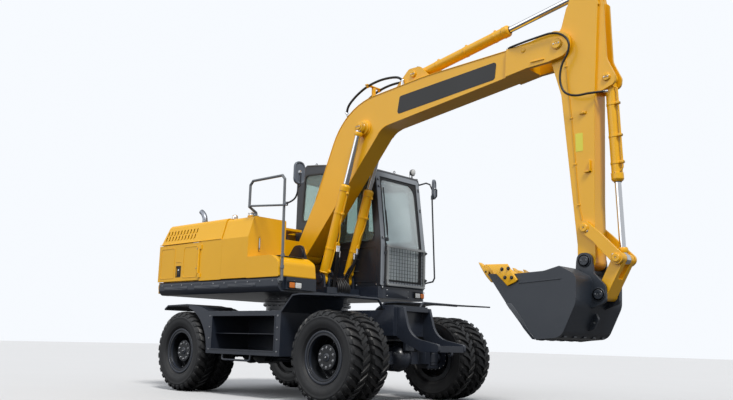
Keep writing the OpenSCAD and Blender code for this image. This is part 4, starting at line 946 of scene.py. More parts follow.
def makeBoomCylinders(look):
    bm = bmesh.new()
    for hand in (-1, 1):
        line = lineFrame(boomCylBase, boomCylTop, hand * 225)
        addBarrelTrim(bm, line, *cylinders["boom"])
        # two steel pipes on the front of each barrel: one to the gland, one short to the base port
        inner = -hand * look["inner"]
        front = look["front"]
        addLine(bm, line, [(470, inner, front - 26), (620, inner, front - 14),
                           (760, inner + hand * 40, front - 12), (1130, inner + hand * 40, front - 12),
                           (1176, inner + hand * 40, front + 8)], look["radius"], 0)
        addLine(bm, line, [(400, inner - hand * 30, front - 24), (470, inner - hand * 30, front - 24),
                           (520, inner - hand * 16, front - 20), (520, inner + hand * 22, front - 16),
                           (300, inner + hand * 22, front - 14), (150, inner + hand * 22, front - 8),
                           (128, inner + hand * 22, front + 16)], look["radius"], 0)
        for reach in (420, 900):
            dy, dz = (40, -12) if reach > 600 else (-8, -20)
            addClamp(bm, line, reach, cylinders["boom"][1], inner + hand * dy, front + dz)
        # ports
        for reach, dy in ((1176, 40), (128, 22)):
            spot = placed(line, (reach, inner + hand * dy, front - 6))
            addBlock(bm, spot - Vector((17, 17, 17)), spot + Vector((17, 17, 17)), 0, 4)
        for reach, dy in ((470, 0), (400, -30)):
            spot = placed(line, (reach, inner + hand * dy, front - 25))
            addFitting(bm, spot, -heading(line), 11, 3)
    finishes = ["paintYellow", "boltSteel", "trimBlack", "rodChrome"]
    makePiece(bm, "boomCylinderTrim", "boom_barrels", finishes)


makeBoomCylinders(boomPipes)


def makeBoomRodEyes():
    bm = bmesh.new()
    for hand in (-1, 1):
        line = lineFrame(boomCylBase, boomCylTop, hand * 225, back=True)
        for y in (-27, 27):
            addTurned(bm, [(46, 0), (64, 0), (66, 2), (66, 5), (46, 6)],
                      placed(line, (0, y, 0)), (0, math.copysign(1, y), 0), 40, 0)
        addRingAt(bm, line, [(37, -36), (52, -34), (56, -20), (56, 8), (50, 20)], -88, 32, 0)
        addPinCap(bm, boomCylTop, hand * 259.5, hand, 46, 0, 1)
        spot = placed(line, (0, 0, 66))
        addTurned(bm, [(0, -2), (8, -2), (8, 10), (5, 12), (5, 18), (0, 19)],
                  spot, heading(line, upAxis), 10, 1)
    makePiece(bm, "boomRodEyes", "boom_rods", ["paintYellow", "boltSteel"])


makeBoomRodEyes()


def makeArmCylinders():
    # arm cylinder
    bm = bmesh.new()
    line = lineFrame(armCylBase, armCylTop)
    addBarrelTrim(bm, line, *cylinders["arm"])
    addLine(bm, line, [(150, 30, 62), (170, 30, 82), (250, 30, 84), (1270, 30, 84), (1300, 30, 60)], 9, 0)
    for reach in (330, 760, 1180):
        addClamp(bm, line, reach, cylinders["arm"][1], 30, 80)
    makePiece(bm, "armCylinderTrim", "arm_barrel",
              ["paintYellow", "boltSteel", "trimBlack"])
    bm = bmesh.new()
    line = lineFrame(armCylBase, armCylTop, 0, back=True)
    addRingAt(bm, line, [(37, -40), (50, -38), (55, -22), (55, 8), (48, 22)], -88, 32, 0)
    for y in (-52, 52):
        addTurned(bm, [(42, 0), (64, 0), (66, 2), (66, 4), (42, 5)],
                  placed(line, (0, y, 0)), (0, math.copysign(1, y), 0), 40, 0)
    makePiece(bm, "armRodEye", "arm_rod", ["paintYellow"])
    # bucket cylinder, its pipes on the back
    bm = bmesh.new()
    line = lineFrame(bucketCylTop, rockerEnd)
    addBarrelTrim(bm, line, *cylinders["bucket"])
    addLine(bm, line, [(110, -34, 54), (120, -34, 78), (180, -34, 80), (960, -34, 80), (990, -34, 52)],
            8, 0)
    for reach in (280, 620, 900):
        addClamp(bm, line, reach, cylinders["bucket"][1], -34, 76)
    makePiece(bm, "bucketCylinderTrim", "bucket_barrel",
              ["paintYellow", "boltSteel", "trimBlack"])
    bm = bmesh.new()
    line = lineFrame(bucketCylTop, rockerEnd, 0, back=True)
    addRingAt(bm, line, [(33, -36), (46, -34), (51, -20), (51, 8), (44, 20)], -80, 32, 0)
    makePiece(bm, "bucketRodEye", "bucket_rod", ["paintYellow"])


makeArmCylinders()

boomTrim = {"weld": 6, "ripple": 22}


def addWeld(bm, points, radius, mat=0):
    # a bead with a light ripple
    path = smoothPath(points, 0.25) if len(points) > 2 else [Vector(p) for p in points]
    total = []
    for a, b in zip(path, path[1:]):
        n = max(1, int((b - a).length / boomTrim["ripple"]))
        total += [a.lerp(b, i / n) for i in range(n)]
    total.append(path[-1])
    addTube(bm, total, radius, mat, 6)


def makeBoomTrim(look):
    bm = bmesh.new()
    for hand in (-1, 1):
        # pin ends
        addPinCap(bm, boomNose, hand * 184, hand, 56, 0, 1)
        addPinCap(bm, armCylBase, hand * 106, hand, 40, 0, 1)
        addTurned(bm, [(100, 0), (108, 0), (112, 4), (112, 10), (104, 14), (100, 14)],
                  (boomCylTop[0], hand * 139, boomCylTop[1]), (0, hand, 0), 48, 0)
        addTurned(bm, [(46, -1), (99, -1), (98, 2), (94, 4), (46, 4)],
                  (boomCylTop[0], hand * 175, boomCylTop[1]), (0, hand, 0), 48, 0)
        # seam where the nose plates lap the box
        addWeld(bm, [(3082, hand * 140, 3990), (3062, hand * 140, 3830), (3062, hand * 140, 3674)],
                look["weld"])
        addWeld(bm, [(1332, hand * 66, 3896), (1460, hand * 62, 3922), (1700, hand * 62, 3938),
                     (1940, hand * 66, 3944)], look["weld"])
    makePiece(bm, "boomTrim", "boom", ["paintYellow", "boltSteel"])


makeBoomTrim(boomTrim)

hoseRun = {"y": 114, "radius": 16}


def makeBoomHoses(look):
    # two hoses that stand in loops over the bend, held at both ends and in a clamp
    bm = bmesh.new()
    for hand in (-1, 1):
        y = hand * look["y"]
        path = smoothPath([(561.8, y, 3680.4), (516, y, 3742), (552, y, 3850), (700, y, 3962),
                           (900, y, 4046), (1150, y, 4081), (1390, y, 4058), (1492, y, 3992),
                           (1500, y, 3924)], 0.12)
        addTube(bm, path, look["radius"], 0, 14)
        for origin, axis in (((548, y, 3697), (-0.62, 0, 0.78)), ((1500, y, 3919), (0, 0, 1))):
            addTurned(bm, [(0, 0), (26, 0), (26, 16), (21, 22), (21, 46), (0, 46)], origin, axis, 6, 1)
            tip = Vector(origin) + Vector(axis).normalized() * 40
            addTurned(bm, [(0, 0), (19, 0), (20, 4), (20, 40), (17.5, 44), (0, 44)], tip, axis, 20, 1)
    makePiece(bm, "boomHoses", "boom", ["hoseRubber", "rodChrome"], stands=["hoses"])
    # clamp bar that ties both runs, on a post from the boom's top
    bm = bmesh.new()
    addBlock(bm, (872, -150, 4050), (916, 150, 4066), 0, 3)
    addBlock(bm, (876, -24, 3880), (912, 24, 4052), 0, 4)
    for hand in (-1, 1):
        addTurned(bm, [(17, -16), (24, -16), (24, 16), (17, 16), (17, -16)],
                  (894, hand * look["y"], 4046), (1, 0, 0.25), 24, 0)
    for y in (-70, 70):
        addBolt(bm, (894, y, 4066), upAxis, 13, 1)
    makePiece(bm, "hoseClamp", "boom", ["paintYellow", "boltSteel"])


makeBoomHoses(hoseRun)


def makeArmTrim():
    bm = bmesh.new()
    for hand in (-1, 1):
        addPinCap(bm, armCylTop, hand * 128, hand, 46, 0, 1)
        addPinCap(bm, bucketCylTop, hand * 98, hand, 38, 0, 1)
        addTurned(bm, [(32, 0), (58, 0), (58, 3), (54, 5), (32, 5)],
                  (rockerPivot[0], hand * 118, rockerPivot[1]), (0, hand, 0), 40, 0)
        # grease pipe down the arm's side, clipped at four places
        y = hand * 123
        addPipe(bm, [(3740, y, 4010), (3790, y, 3700), (3850, y, 2900), (3900, y, 2120), (3935, y, 1960)],
                60, 4, 0, 8)
        for x, z in ((3790, 3640), (3836, 3060), (3868, 2560), (3898, 2130)):
            addBlock(bm, (x - 16, y - 6, z - 8), (x + 16, y + 6, z + 8), 0, 2)
        # weld round the bucket cylinder's bracket
        addWeld(bm, [(4104, hand * 60, 3300), (4140, hand * 60, 3800), (4168, hand * 60, 4300)], 5)
    makePiece(bm, "armTrim", "arm", ["paintYellow", "boltSteel"])


makeArmTrim()


def makeRockerTrim():
    bm = bmesh.new()
    for hand in (-1, 1):
        addPinCap(bm, rockerPivot, hand * 170, hand, 42, 0, 1, plate=False)
        addPinCap(bm, rockerEnd, hand * 172, hand, 40, 0, 1, plate=False)
        addBolt(bm, (rockerPivot[0] + 34, hand * 160, rockerPivot[1] - 34), (0, hand, 0), 14, 1)
        addBolt(bm, (rockerEnd[0] - 34, hand * 160, rockerEnd[1] + 34), (0, hand, 0), 14, 1)
    makePiece(bm, "rockerTrim", "rocker", ["paintYellow", "boltSteel"])


makeRockerTrim()

bucketLook = {"teeth": (-440, -220, 0, 220, 440), "half": 500}


def makeTeeth(look):
    lip, root = Vector((3040, 0, 1432)), Vector((3300, 0, 1076))
    head = (lip - root).normalized()
    up = Vector((-head.z, 0, head.x))
    bm = bmesh.new()
    # rows: reach past the lip, half width, top and bottom of the section
    upperJaw = [(-96, 30, 20, 2), (-84, 40, 30, 0.4), (-20, 42, 38, 0.4), (6, 42, 40, -2),
                (30, 41, 41, -34), (84, 38, 40, -4), (150, 33, 38, 18), (182, 28, 37, 30)]
    lowerJaw = [(-84, 34, -24.5, -40), (-20, 38, -24.5, -52), (6, 40, -24.5, -54), (34, 40, -22, -48),
                (110, 34, 2, -16)]
    for y0 in look["teeth"]:
        for rows, chamfer in ((upperJaw, 7), (lowerJaw, 0)):
            rings = []
            for reach, half, top, low in rows:
                middle = lip + head * reach
                crown = [(-half + chamfer, top), (half - chamfer, top)]
                if chamfer:
                    crown = [(-half, top - chamfer)] + crown + [(half, top - chamfer)]
                corners = [(-half, low)] + crown + [(half, low)]
                rings.append([bm.verts.new(middle + up * dz + Vector((0, y0 + dy, 0)))
                              for dy, dz in corners])
            joinRings(bm, rings, 0, True)
        # retaining pin
        spot = lip + head * 40 + up * 12
        for hand in (-1, 1):
            place = spot + Vector((0, y0 + hand * 39, 0))
            addTurned(bm, [(0, 0), (11, 0), (11, 4), (8, 6), (0, 6)], place, (0, hand, 0), 16, 1)
    # side cutters with three bolts each
    cutter = [(3022, 1530), (3292, 1522), (3410, 1356), (3392, 1336), (3292, 1298), (3150, 1440)]
    for hand in (-1, 1):
        y = hand * 500.5
        addPlate(bm, cutter, y, y + hand * 23, sidePlane, 0, 5)
        for x, z in ((3232, 1470), (3308, 1474), (3346, 1380), (3268, 1384)):
            addTurned(bm, [(20, 0), (20, 2), (0, 2)], (x, y + hand * 23.2, z), (0, hand, 0), 20, 1)
            addBolt(bm, (x, y + hand * 23.5, z), (0, hand, 0), 22, 1)
    makePiece(bm, "bucketTeeth", "bucket", ["paintYellow", "trimBlack"], stands=["teeth"])


makeTeeth(bucketLook)


def makeBucketTrim(look):
    bm = bmesh.new()
    for hand in (-1, 1):
        y = hand * look["half"]
        # stiffening strip on the side plate's upper part, and its welds
        addPlate(bm, [(3420, 1330), (3890, 1356), (3886, 1346), (3420, 1318)],
                 y, y + hand * 5, sidePlane, 0, 1.5)
        addWeld(bm, [(3420, y, 1324), (3885, y, 1352)], 5)
        # wear plate along the front corner
        strip = [(3262, 1126), (3304, 1070), (3380, 990), (3470, 870), (3562, 770), (3600, 766),
                 (3520, 860), (3430, 1000), (3330, 1120)]
        addPlate(bm, strip, y, y + hand * 6, sidePlane, 1, 1.5)
        addPinCap(bm, bucketPivot, hand * 180, hand, 48, 0, 1)
        addPinCap(bm, linkLow, hand * 180, hand, 48, 0, 1)
        for pivot in (bucketPivot, linkLow):
            addTurned(bm, [(50, 0), (64, 0), (66, 2), (66, 12), (60, 15), (50, 15)],
                      (pivot[0], hand * 165, pivot[1]), (0, hand, 0), 40, 0)
    # wear strips under the bowl
    for y0 in (-400, -200, 0, 200, 400):
        path = [(3868, 800), (3740, 782), (3600, 764), (3568, 768), (3440, 906), (3330, 1040)]
        low = [Vector((x, 0, z)) for x, z in path]
        section = [(-28, -6), (-24, 9), (24, 9), (28, -6)]
        rings = []
        for i, p in enumerate(low):
            a, b = low[max(i - 1, 0)], low[min(i + 1, len(low) - 1)]
            head = (b - a).normalized()
            out = Vector((head.z, 0, -head.x))
            if out.z > 0.2 and out.x > 0:
                out = -out
            rings.append([bm.verts.new(p + out * d + Vector((0, y0 + dy, 0))) for dy, d in section])
        joinRings(bm, rings, 0, True)
    makePiece(bm, "bucketTrim", "bucket", ["bucketGrey", "bucketEdge"])


makeBucketTrim(bucketLook)
print("arm pieces made")

# Cab: outlines are in side view unless a plane is named


def roundedOutline(rows, steps=5):
    # rows are (u, v, corner radius)
    outline = []
    n = len(rows)
    for i in range(n):
        p, q, s = (Vector(rows[(i + k) % n][:2]) for k in (-1, 0, 1))
        radius = rows[i][2]
        a, b = (p - q).normalized(), (s - q).normalized()
        half = math.acos(max(-1, min(1, a.dot(b)))) / 2
        if radius <= 0:
            outline += [tuple(q)] * (steps + 1)
            continue
        centre = q + (a + b).normalized() * radius / math.sin(half)
        first = q + a * radius / math.tan(half) - centre
        last = q + b * radius / math.tan(half) - centre
        start = math.atan2(first.y, first.x)
        sweep = (math.atan2(last.y, last.x) - start + math.pi) % (2 * math.pi) - math.pi
        for k in range(steps + 1):
            t = start + sweep * k / steps
            outline.append((centre.x + radius * math.cos(t), centre.y + radius * math.sin(t)))
    return outline


def rectangle(u0, v0, u1, v1, radius):
    # rows of a rectangle with equal corners
    return [(u0, v0, radius), (u1, v0, radius), (u1, v1, radius), (u0, v1, radius)]


def grown(rows, d):
    # the same rows moved inwards by d, or outwards where d is below zero
    us, vs = [r[0] for r in rows], [r[1] for r in rows]
    midU, midV = (max(us) + min(us)) / 2, (max(vs) + min(vs)) / 2
    return [(u + (-d if u > midU else d), v + (-d if v > midV else d), max(r, 2)) for u, v, r in rows]


def addRing(bm, outer, inner, start, end, plane=sidePlane, mat=0, bend=None):
    # a flat ring between two outlines of the same count
    rings = []
    for outline, depth in ((outer, start), (outer, end), (inner, end), (inner, start)):
        ring = [plane @ Vector((u, v, depth)) for u, v in outline]
        rings.append([bm.verts.new(bend(p) if bend else p) for p in ring])
    joinRings(bm, rings + rings[:1], mat)


def addFrame(bm, rows, outside, inside, start, end, plane=sidePlane, mat=0):
    # a flat frame from the rows moved outwards to the rows moved inwards
    outer, inner = (roundedOutline(grown(rows, d)) for d in (-outside, inside))
    addRing(bm, outer, inner, start, end, plane, mat)


def addShell(bm, outline, stations, place, mat=0):
    # outline in (u, v), each station (scale, depth); the last one is closed
    rings = [[bm.verts.new(place @ Vector((u * s, v * s, d))) for u, v in outline] for s, d in stations]
    joinRings(bm, rings, mat)
    bm.faces.new(rings[-1]).material_index = mat


def spread(outline, parts=6):
    # the same outline with more points along each side
    corners = [Vector(point) for point in outline]
    sides = zip(corners, corners[1:] + corners[:1])
    return [tuple(a.lerp(b, k / parts)) for a, b in sides for k in range(parts)]


def frontX(z, inset=0.0):
    # the cab's front face at a height
    lean = 140 / (1035 - inset)
    if z < 1996:
        return 800 - inset
    if z > 2024:
        return 800 - inset - lean * (z - 2010)
    return 800 - inset - lean * (z - 1996) ** 2 / 56


def followFront(inset):
    # moves a point drawn in (y, z) onto the leaning front
    return lambda p: Vector((frontX(p.z, inset) + p.x, p.y, p.z))


# (x, z, corner radius) in the cab's side walls
cabRight, cabLeft = 310, 1250
cabWindows = {
    "rightRear": [(-780, 2420, 60), (-180, 2420, 60), (-180, 3090, 60), (-740, 3120, 60)],
    "rightFront": [(-90, 2040, 60), (690, 2040, 60), (590, 2950, 60), (-90, 3040, 60)],
    "quarter": [(-780, 2340, 60), (-510, 2340, 60), (-510, 3090, 60), (-750, 3110, 60)],
    "door": [(-310, 2120, 60), (600, 2120, 60), (500, 2870, 60), (-310, 2960, 60)],
}
windscreen = {"right": 390, "left": 1170, "low": 1500, "high": 2940, "turnLeft": 150, "turnRight": 60}


def makeCabGlass(look):
    bm = bmesh.new()
    for key, wall, hand in (("rightRear", cabRight, 1), ("rightFront", cabRight, 1),
                            ("quarter", cabLeft, -1)):
        pane = roundedOutline(grown(cabWindows[key], 0.3))
        addPlate(bm, pane, wall + hand * 12, wall + hand * 20, sidePlane, 0)
    addBlock(bm, (-888, 420.3, 2340.3), (-880, 1139.7, 3039.7), 0)
    makePiece(bm, "sidePanes", "upper", ["glassClear"], stands=["cab_glass"])
    bm = bmesh.new()
    heights = [1500.3, 1996, 2010, 2024, 2400, 2939.7]
    outline = [(frontX(z, 12), z) for z in heights] + [(frontX(z, 20), z) for z in heights[::-1]]
    addPlate(bm, outline, look["right"] + 0.3, look["left"] - 0.3, sidePlane, 0)
    makePiece(bm, "windscreen", "upper", ["glassPale"], stands=["cab_glass"])


makeCabGlass(windscreen)

cabFrame = {"ringLow": 1440, "ringHigh": 3006, "proud": 7}


def makeCabFrame(look, glass):
    bm = bmesh.new()
    # painted black band on the pane, with its round inner corners
    y0, y1, z0, z1 = glass["right"], glass["left"], glass["low"], glass["high"]
    outer = spread(roundedOutline(rectangle(y0, z0, y1, z1, 4)))
    inner = spread(roundedOutline([(y0 + 36, z0 + 30, 40), (y1 - 46, z0 + 30, 40),
                                   (y1 - 46, z1 - 36, glass["turnLeft"]),
                                   (y0 + 36, z1 - 36, glass["turnRight"])]))
    addRing(bm, outer, inner, 0, 8, crossPlane, 1, followFront(11.6))
    # light frame of the front, round the opening
    edge = spread(roundedOutline([(320, look["ringLow"], 20), (1240, look["ringLow"], 20),
                                  (1240, look["ringHigh"], 60), (320, look["ringHigh"], 60)]))
    addRing(bm, edge, outer, -2, look["proud"], crossPlane, 0, followFront(0))
    makePiece(bm, "windscreenFrame", "upper",
              ["pillarGrey", "trimBlack"], round=2.5, angle=30)
    # seals round the other windows, and the door's
    for name, body, keys in (("windowSeals", "upper", ("rightRear", "rightFront", "quarter")),
                             ("doorSeal", "cab_door", ("door",))):
        bm = bmesh.new()
        for key in keys:
            wall, below, above = (cabRight, 3.5, 13) if "right" in key else (cabLeft, 13, 3.5)
            addFrame(bm, cabWindows[key], 12, 12, wall - below, wall + above)
        if body == "upper":
            rear = rectangle(408, 2328, 1152, 3052, 12)
            addFrame(bm, rear, 0, 26, -903.5, -887, crossPlane)
        makePiece(bm, name, body, ["trimBlack"], round=2)


makeCabFrame(cabFrame, windscreen)


def makeCabTrim():
    bm = bmesh.new()
    # gutters along the roof's edges
    roof = [(640, 3049), (560, 3064), (0, 3163), (-260, 3209), (-460, 3236), (-700, 3262), (-810, 3210),
            (-870, 3172)]
    for y in (cabRight - 5, cabLeft + 5):
        addTube(bm, smoothPath([(x, y, z - 5) for x, z in roof[:6]], 0.34), 9, 0, 8)
    # lifting eyes
    for x, y, z in ((-600, 400, 3247), (-600, 1160, 3247), (500, 900, 3073)):
        turns = ringAngles(14) + [2 * math.pi]
        addTube(bm, [(x + 17 * math.cos(t), y, z + 32 + 17 * math.sin(t)) for t in turns], 5.5, 0, 8)
        addTurned(bm, [(19, 0), (19, 7), (9, 12), (7, 18)], (x, y, z - 2), upAxis, 16, 0)
    # pillar knobs: window catches and the guard's brackets
    for z, y in ((2890, 348), (2790, 352), (2080, 350), (1420, 352)):
        addBlock(bm, (frontX(z) + 4, y - 17, z - 14), (frontX(z) + 19, y + 17, z + 14), 1, 4)
        addBolt(bm, (frontX(z) + 18.5, y, z), frontAxis, 11, 2)
    for z in (2860, 2560):
        addBlock(bm, (frontX(z) + 4, 1196, z - 24), (frontX(z) + 17, 1222, z + 24), 1, 4)
    # wiper along the right edge of the pane
    addBlock(bm, (793, 402, 2040), (826, 452, 2086), 1, 8)
    addTurned(bm, [(0, 0), (15, 0), (15, 12), (9, 16), (0, 16)], (812, 424, 2066), frontAxis, 18, 1)
    addPipe(bm, [(826, 424, 2066), (812, 432, 2200), (frontX(2460) + 22, 446, 2460)], 40, 6, 1, 8)
    addTube(bm, [(frontX(z) + 10, 446, z) for z in (2120, 2460, 2790)], 7, 1, 8)
    # pressed panels and seams of the right wall
    for x0, x1, z0, z1 in ((-60, 742, 1486, 1962), (-860, -110, 1486, 2330)):
        rows = rectangle(x0, z0, x1, z1, 30)
        addFrame(bm, rows, 0, 14, cabRight - 3.5, cabRight + 0.5, sidePlane, 3)
    for z in (1640, 1800):
        addBlock(bm, (120, cabRight - 5, z - 4), (420, cabRight + 0.5, z + 4), 3, 2)
    for x in (-840, -440, -40, 380, 740):
        addBolt(bm, (x, cabRight - 0.4, 1452), rightAxis, 13, 2)
        addBolt(bm, (x, cabLeft + 0.4, 1452), leftAxis, 13, 2)
    # roof hatch and the air intake behind it
    addPlate(bm, [(-160, 3188), (500, 3071), (494, 3088), (480, 3096), (-140, 3206), (-158, 3200)],
             470, 1090, sidePlane, 3, 6)
    for k in range(7):
        addBlock(bm, (-902.5, 520 + k * 76, 2110), (-897, 560 + k * 76, 2240), 1, 2)
    makePiece(bm, "cabTrim", "upper", ["railGrey", "trimBlack", "boltSteel", "cabGrey"])
    # door handle, lower panel and hinge bolts
    bm = bmesh.new()
    rows = [(-370, 1540, 40), (650, 1540, 40), (650, 2040, 60), (-370, 2040, 40)]
    addFrame(bm, rows, 0, 16, cabLeft - 0.5, cabLeft + 3.5)
    addShell(bm, roundedOutline(rectangle(-70, -30, 70, 30, 22)), [(1, 0), (1, 3), (0.94, 6), (0.86, 2)],
             Matrix.Translation((520, cabLeft, 1900)) @ sidePlane, 1)
    addPipe(bm, [(468, 1254, 1900), (470, 1276, 1900), (570, 1276, 1904), (572, 1254, 1904)],
            12, 8, 1, 10)
    for z in (1700, 2780):
        for dz in (24, 86):
            addBolt(bm, (-376, 1283.8, z + dz), leftAxis, 12, 2)
    makePiece(bm, "doorTrim", "cab_door", ["cabGrey", "trimBlack", "boltSteel"])


makeCabTrim()

guard = {"low": 1446, "high": 1985, "right": 408, "left": 1210, "x": 820, "bar": 30, "wire": 2.6,
         "across": 13, "up": 10}


def makeGuard(look):
    bm = bmesh.new()
    y0, y1, z0, z1, x, bar = (look[k] for k in ("right", "left", "low", "high", "x", "bar"))
    outer = roundedOutline(rectangle(y0, z0, y1, z1, 16))
    inner = roundedOutline(rectangle(y0 + bar, z0 + bar, y1 - bar, z1 - bar, 5))
    addRing(bm, outer, inner, x, x + 24, crossPlane, 0)
    for k in range(1, look["across"]):
        y = y0 + bar + (y1 - y0 - 2 * bar) * k / look["across"]
        addTube(bm, [(x + 10, y, z0 + bar - 4), (x + 10, y, z1 - bar + 4)], look["wire"], 1, 6)
    for k in range(1, look["up"]):
        z = z0 + bar + (z1 - z0 - 2 * bar) * k / look["up"]
        addTube(bm, [(x + 14, y0 + bar - 4, z), (x + 14, y1 - bar + 4, z)], look["wire"], 1, 6)
    # hinge rod with its arms, and the catch
    for low, high in ((1452, 1500), (1506, 1855), (1895, 2004)):
        addTube(bm, [(834, 384, low), (834, 384, high)], 9, 1, 12)
    for z in (1506, 1895):
        addTurned(bm, [(9, 0), (13, 0.5), (13, 69.5), (9, 70)], (834, 384, z), upAxis, 20, 1)
        addBlock(bm, (826, 392, z + 8), (842, 412, z + 62), 1, 3)
    for z in (1560, 1940):
        addBlock(bm, (842, 1184, z - 22), (858, 1214, z + 22), 1, 5)
        addTurned(bm, [(0, 0), (11, 0), (13, 6), (13, 18), (9, 22), (0, 22)],
                  (857, 1199, z), frontAxis, 16, 1)
    for y, z in ((423, 1461), (1195, 1461), (423, 1970), (800, 1970), (800, 1461)):
        addBolt(bm, (844, y, z), frontAxis, 10, 2)
    makePiece(bm, "guardFrame", "front_guard",
              ["guardGrey", "trimBlack", "boltSteel"], stands=["front_guard"])


makeGuard(guard)

mirrorLook = {"half": (75, 142), "corner": 68}


def addMirrorHead(bm, place, look):
    # a housing with a raised rim at its back and the glass in front, towards the operator
    w, h = look["half"]
    r = look["corner"]
    outline = roundedOutline(rectangle(-w, -h, w, h, r), 7)
    addShell(bm, outline, [(0.93, -14), (0.985, -13), (1, -8), (1, 8), (0.985, 17), (0.93, 21),
                           (0.87, 21), (0.80, 12), (0.4, 13)], place, 0)
    addShell(bm, outline, [(0.93, -14), (0.88, -11.5)], place, 1)
    # ball joint at the back with its clamp
    spot = place @ Vector((0, 6, 12))
    axis = heading(place, upAxis)
    addTurned(bm, [(0, 0), (26, 0), (26, 5), (15, 9), (15, 15), (0, 20)], spot, axis, 20, 2)


def makeMirrors(look):
    bm = bmesh.new()
    addMirrorHead(bm, turnedPlace((812, -1196, 2680), -6) @ crossPlane, look)
    addPipe(bm, [(598, -1196, 2328), (690, -1196, 2345), (760, -1196, 2374), (800, -1196, 2440),
                 (802, -1196, 2560)], 60, 11, 3, 12)
    # fork that holds the head at its lower end
    addPipe(bm, [(818, -1196, 2686), (846, -1196, 2680), (846, -1196, 2520), (806, -1196, 2506)],
            30, 8, 3, 10)
    addBlock(bm, (580.5, -1221, 2303), (612, -1171, 2353), 0, 6)
    for z in (2314, 2342):
        addBolt(bm, (611.5, -1208, z), frontAxis, 11, 2)
    # left one
    addMirrorHead(bm, turnedPlace((963, 1234, 2856), 25) @ crossPlane, look)
    addTurned(bm, [(11.4, -30), (20, -30), (21, -28), (21, 28), (20, 30), (11.4, 30)],
              (905, 1272, 2750), upAxis, 24, 2)
    addPipe(bm, [(918, 1268, 2752), (950, 1262, 2742), (1004, 1250, 2742), (1006, 1250, 2850),
                 (984, 1242, 2862)], 34, 8, 3, 10)
    addBlock(bm, (917, 1227, 2726), (957, 1279, 2774), 0, 5)
    makePiece(bm, "mirrorHeads", "upper", ["mirrorShell", "mirrorFace", "rodChrome", "cabGrey"],
              stands=["mirrors"])


makeMirrors(mirrorLook)

# x, y, z, half width, half height, and which finish the lens takes
lampRows = {"rightAmber": (592, -1060, 1350, 45, 36, 2), "rightClear": (592, -960, 1350, 52, 36, 1),
            "leftClear": (806, 1060, 1345, 52, 34, 1), "leftAmber": (806, 1160, 1345, 40, 34, 2)}


def makeLamps(rows):
    bm = bmesh.new()
    for x, y, z, w, h, lens in rows.values():
        outline = roundedOutline(rectangle(-w, -h, w, h, 9))
        place = Matrix.Translation((x, y, z)) @ crossPlane
        addShell(bm, outline, [(1, 0.4), (1, 24), (0.985, 28), (0.93, 28), (0.90, 23)], place, 0)
        addShell(bm, outline, [(0.91, 22), (0.91, 29), (0.86, 33), (0.6, 34)], place, lens)
        # ribs of the lens
        for k in range(-2, 3):
            rib = y + k * w * 0.28
            addBlock(bm, (x + 33.4, rib - 0.8, z - h * 0.7),
                     (x + 34.6, rib + 0.8, z + h * 0.7), lens, 0.5)
    # round work lamps on the roof
    for y in (370, 1180):
        axis = (1, 0, -0.16)
        addTurned(bm, [(0, 0), (22, 0), (38, 10), (46, 26), (48, 44), (48, 52), (45, 54)],
                  (574, y, 3146), axis, 32, 3)
        addTurned(bm, [(45.5, 53), (42, 56), (30, 61), (14, 64), (0, 65)], (574, y, 3146), axis, 32, 1)
        addPipe(bm, [(600, y - 50, 3142), (600, y - 50, 3098), (600, y + 50, 3098), (600, y + 50, 3142)],
                12, 5, 0, 8)
        addTurned(bm, [(14, -38), (14, -34), (9, -32), (9, 0)], (600, y, 3098), upAxis, 16, 0)
        for hand in (-1, 1):
            addBolt(bm, (600, y + hand * 53, 3142), (0, hand, 0), 9, 4)
        addPipe(bm, [(576, y, 3140), (556, y, 3116), (556, y + 10, 3062)], 20, 4, 0, 6)
    makePiece(bm, "frontLamps", "upper", ["trimBlack", "lampLens", "amberLens", "lampShell", "boltSteel"],
              stands=["lamps"])


makeLamps(lampRows)

matTop = 1489
seat = {"middle": 780, "half": 200}


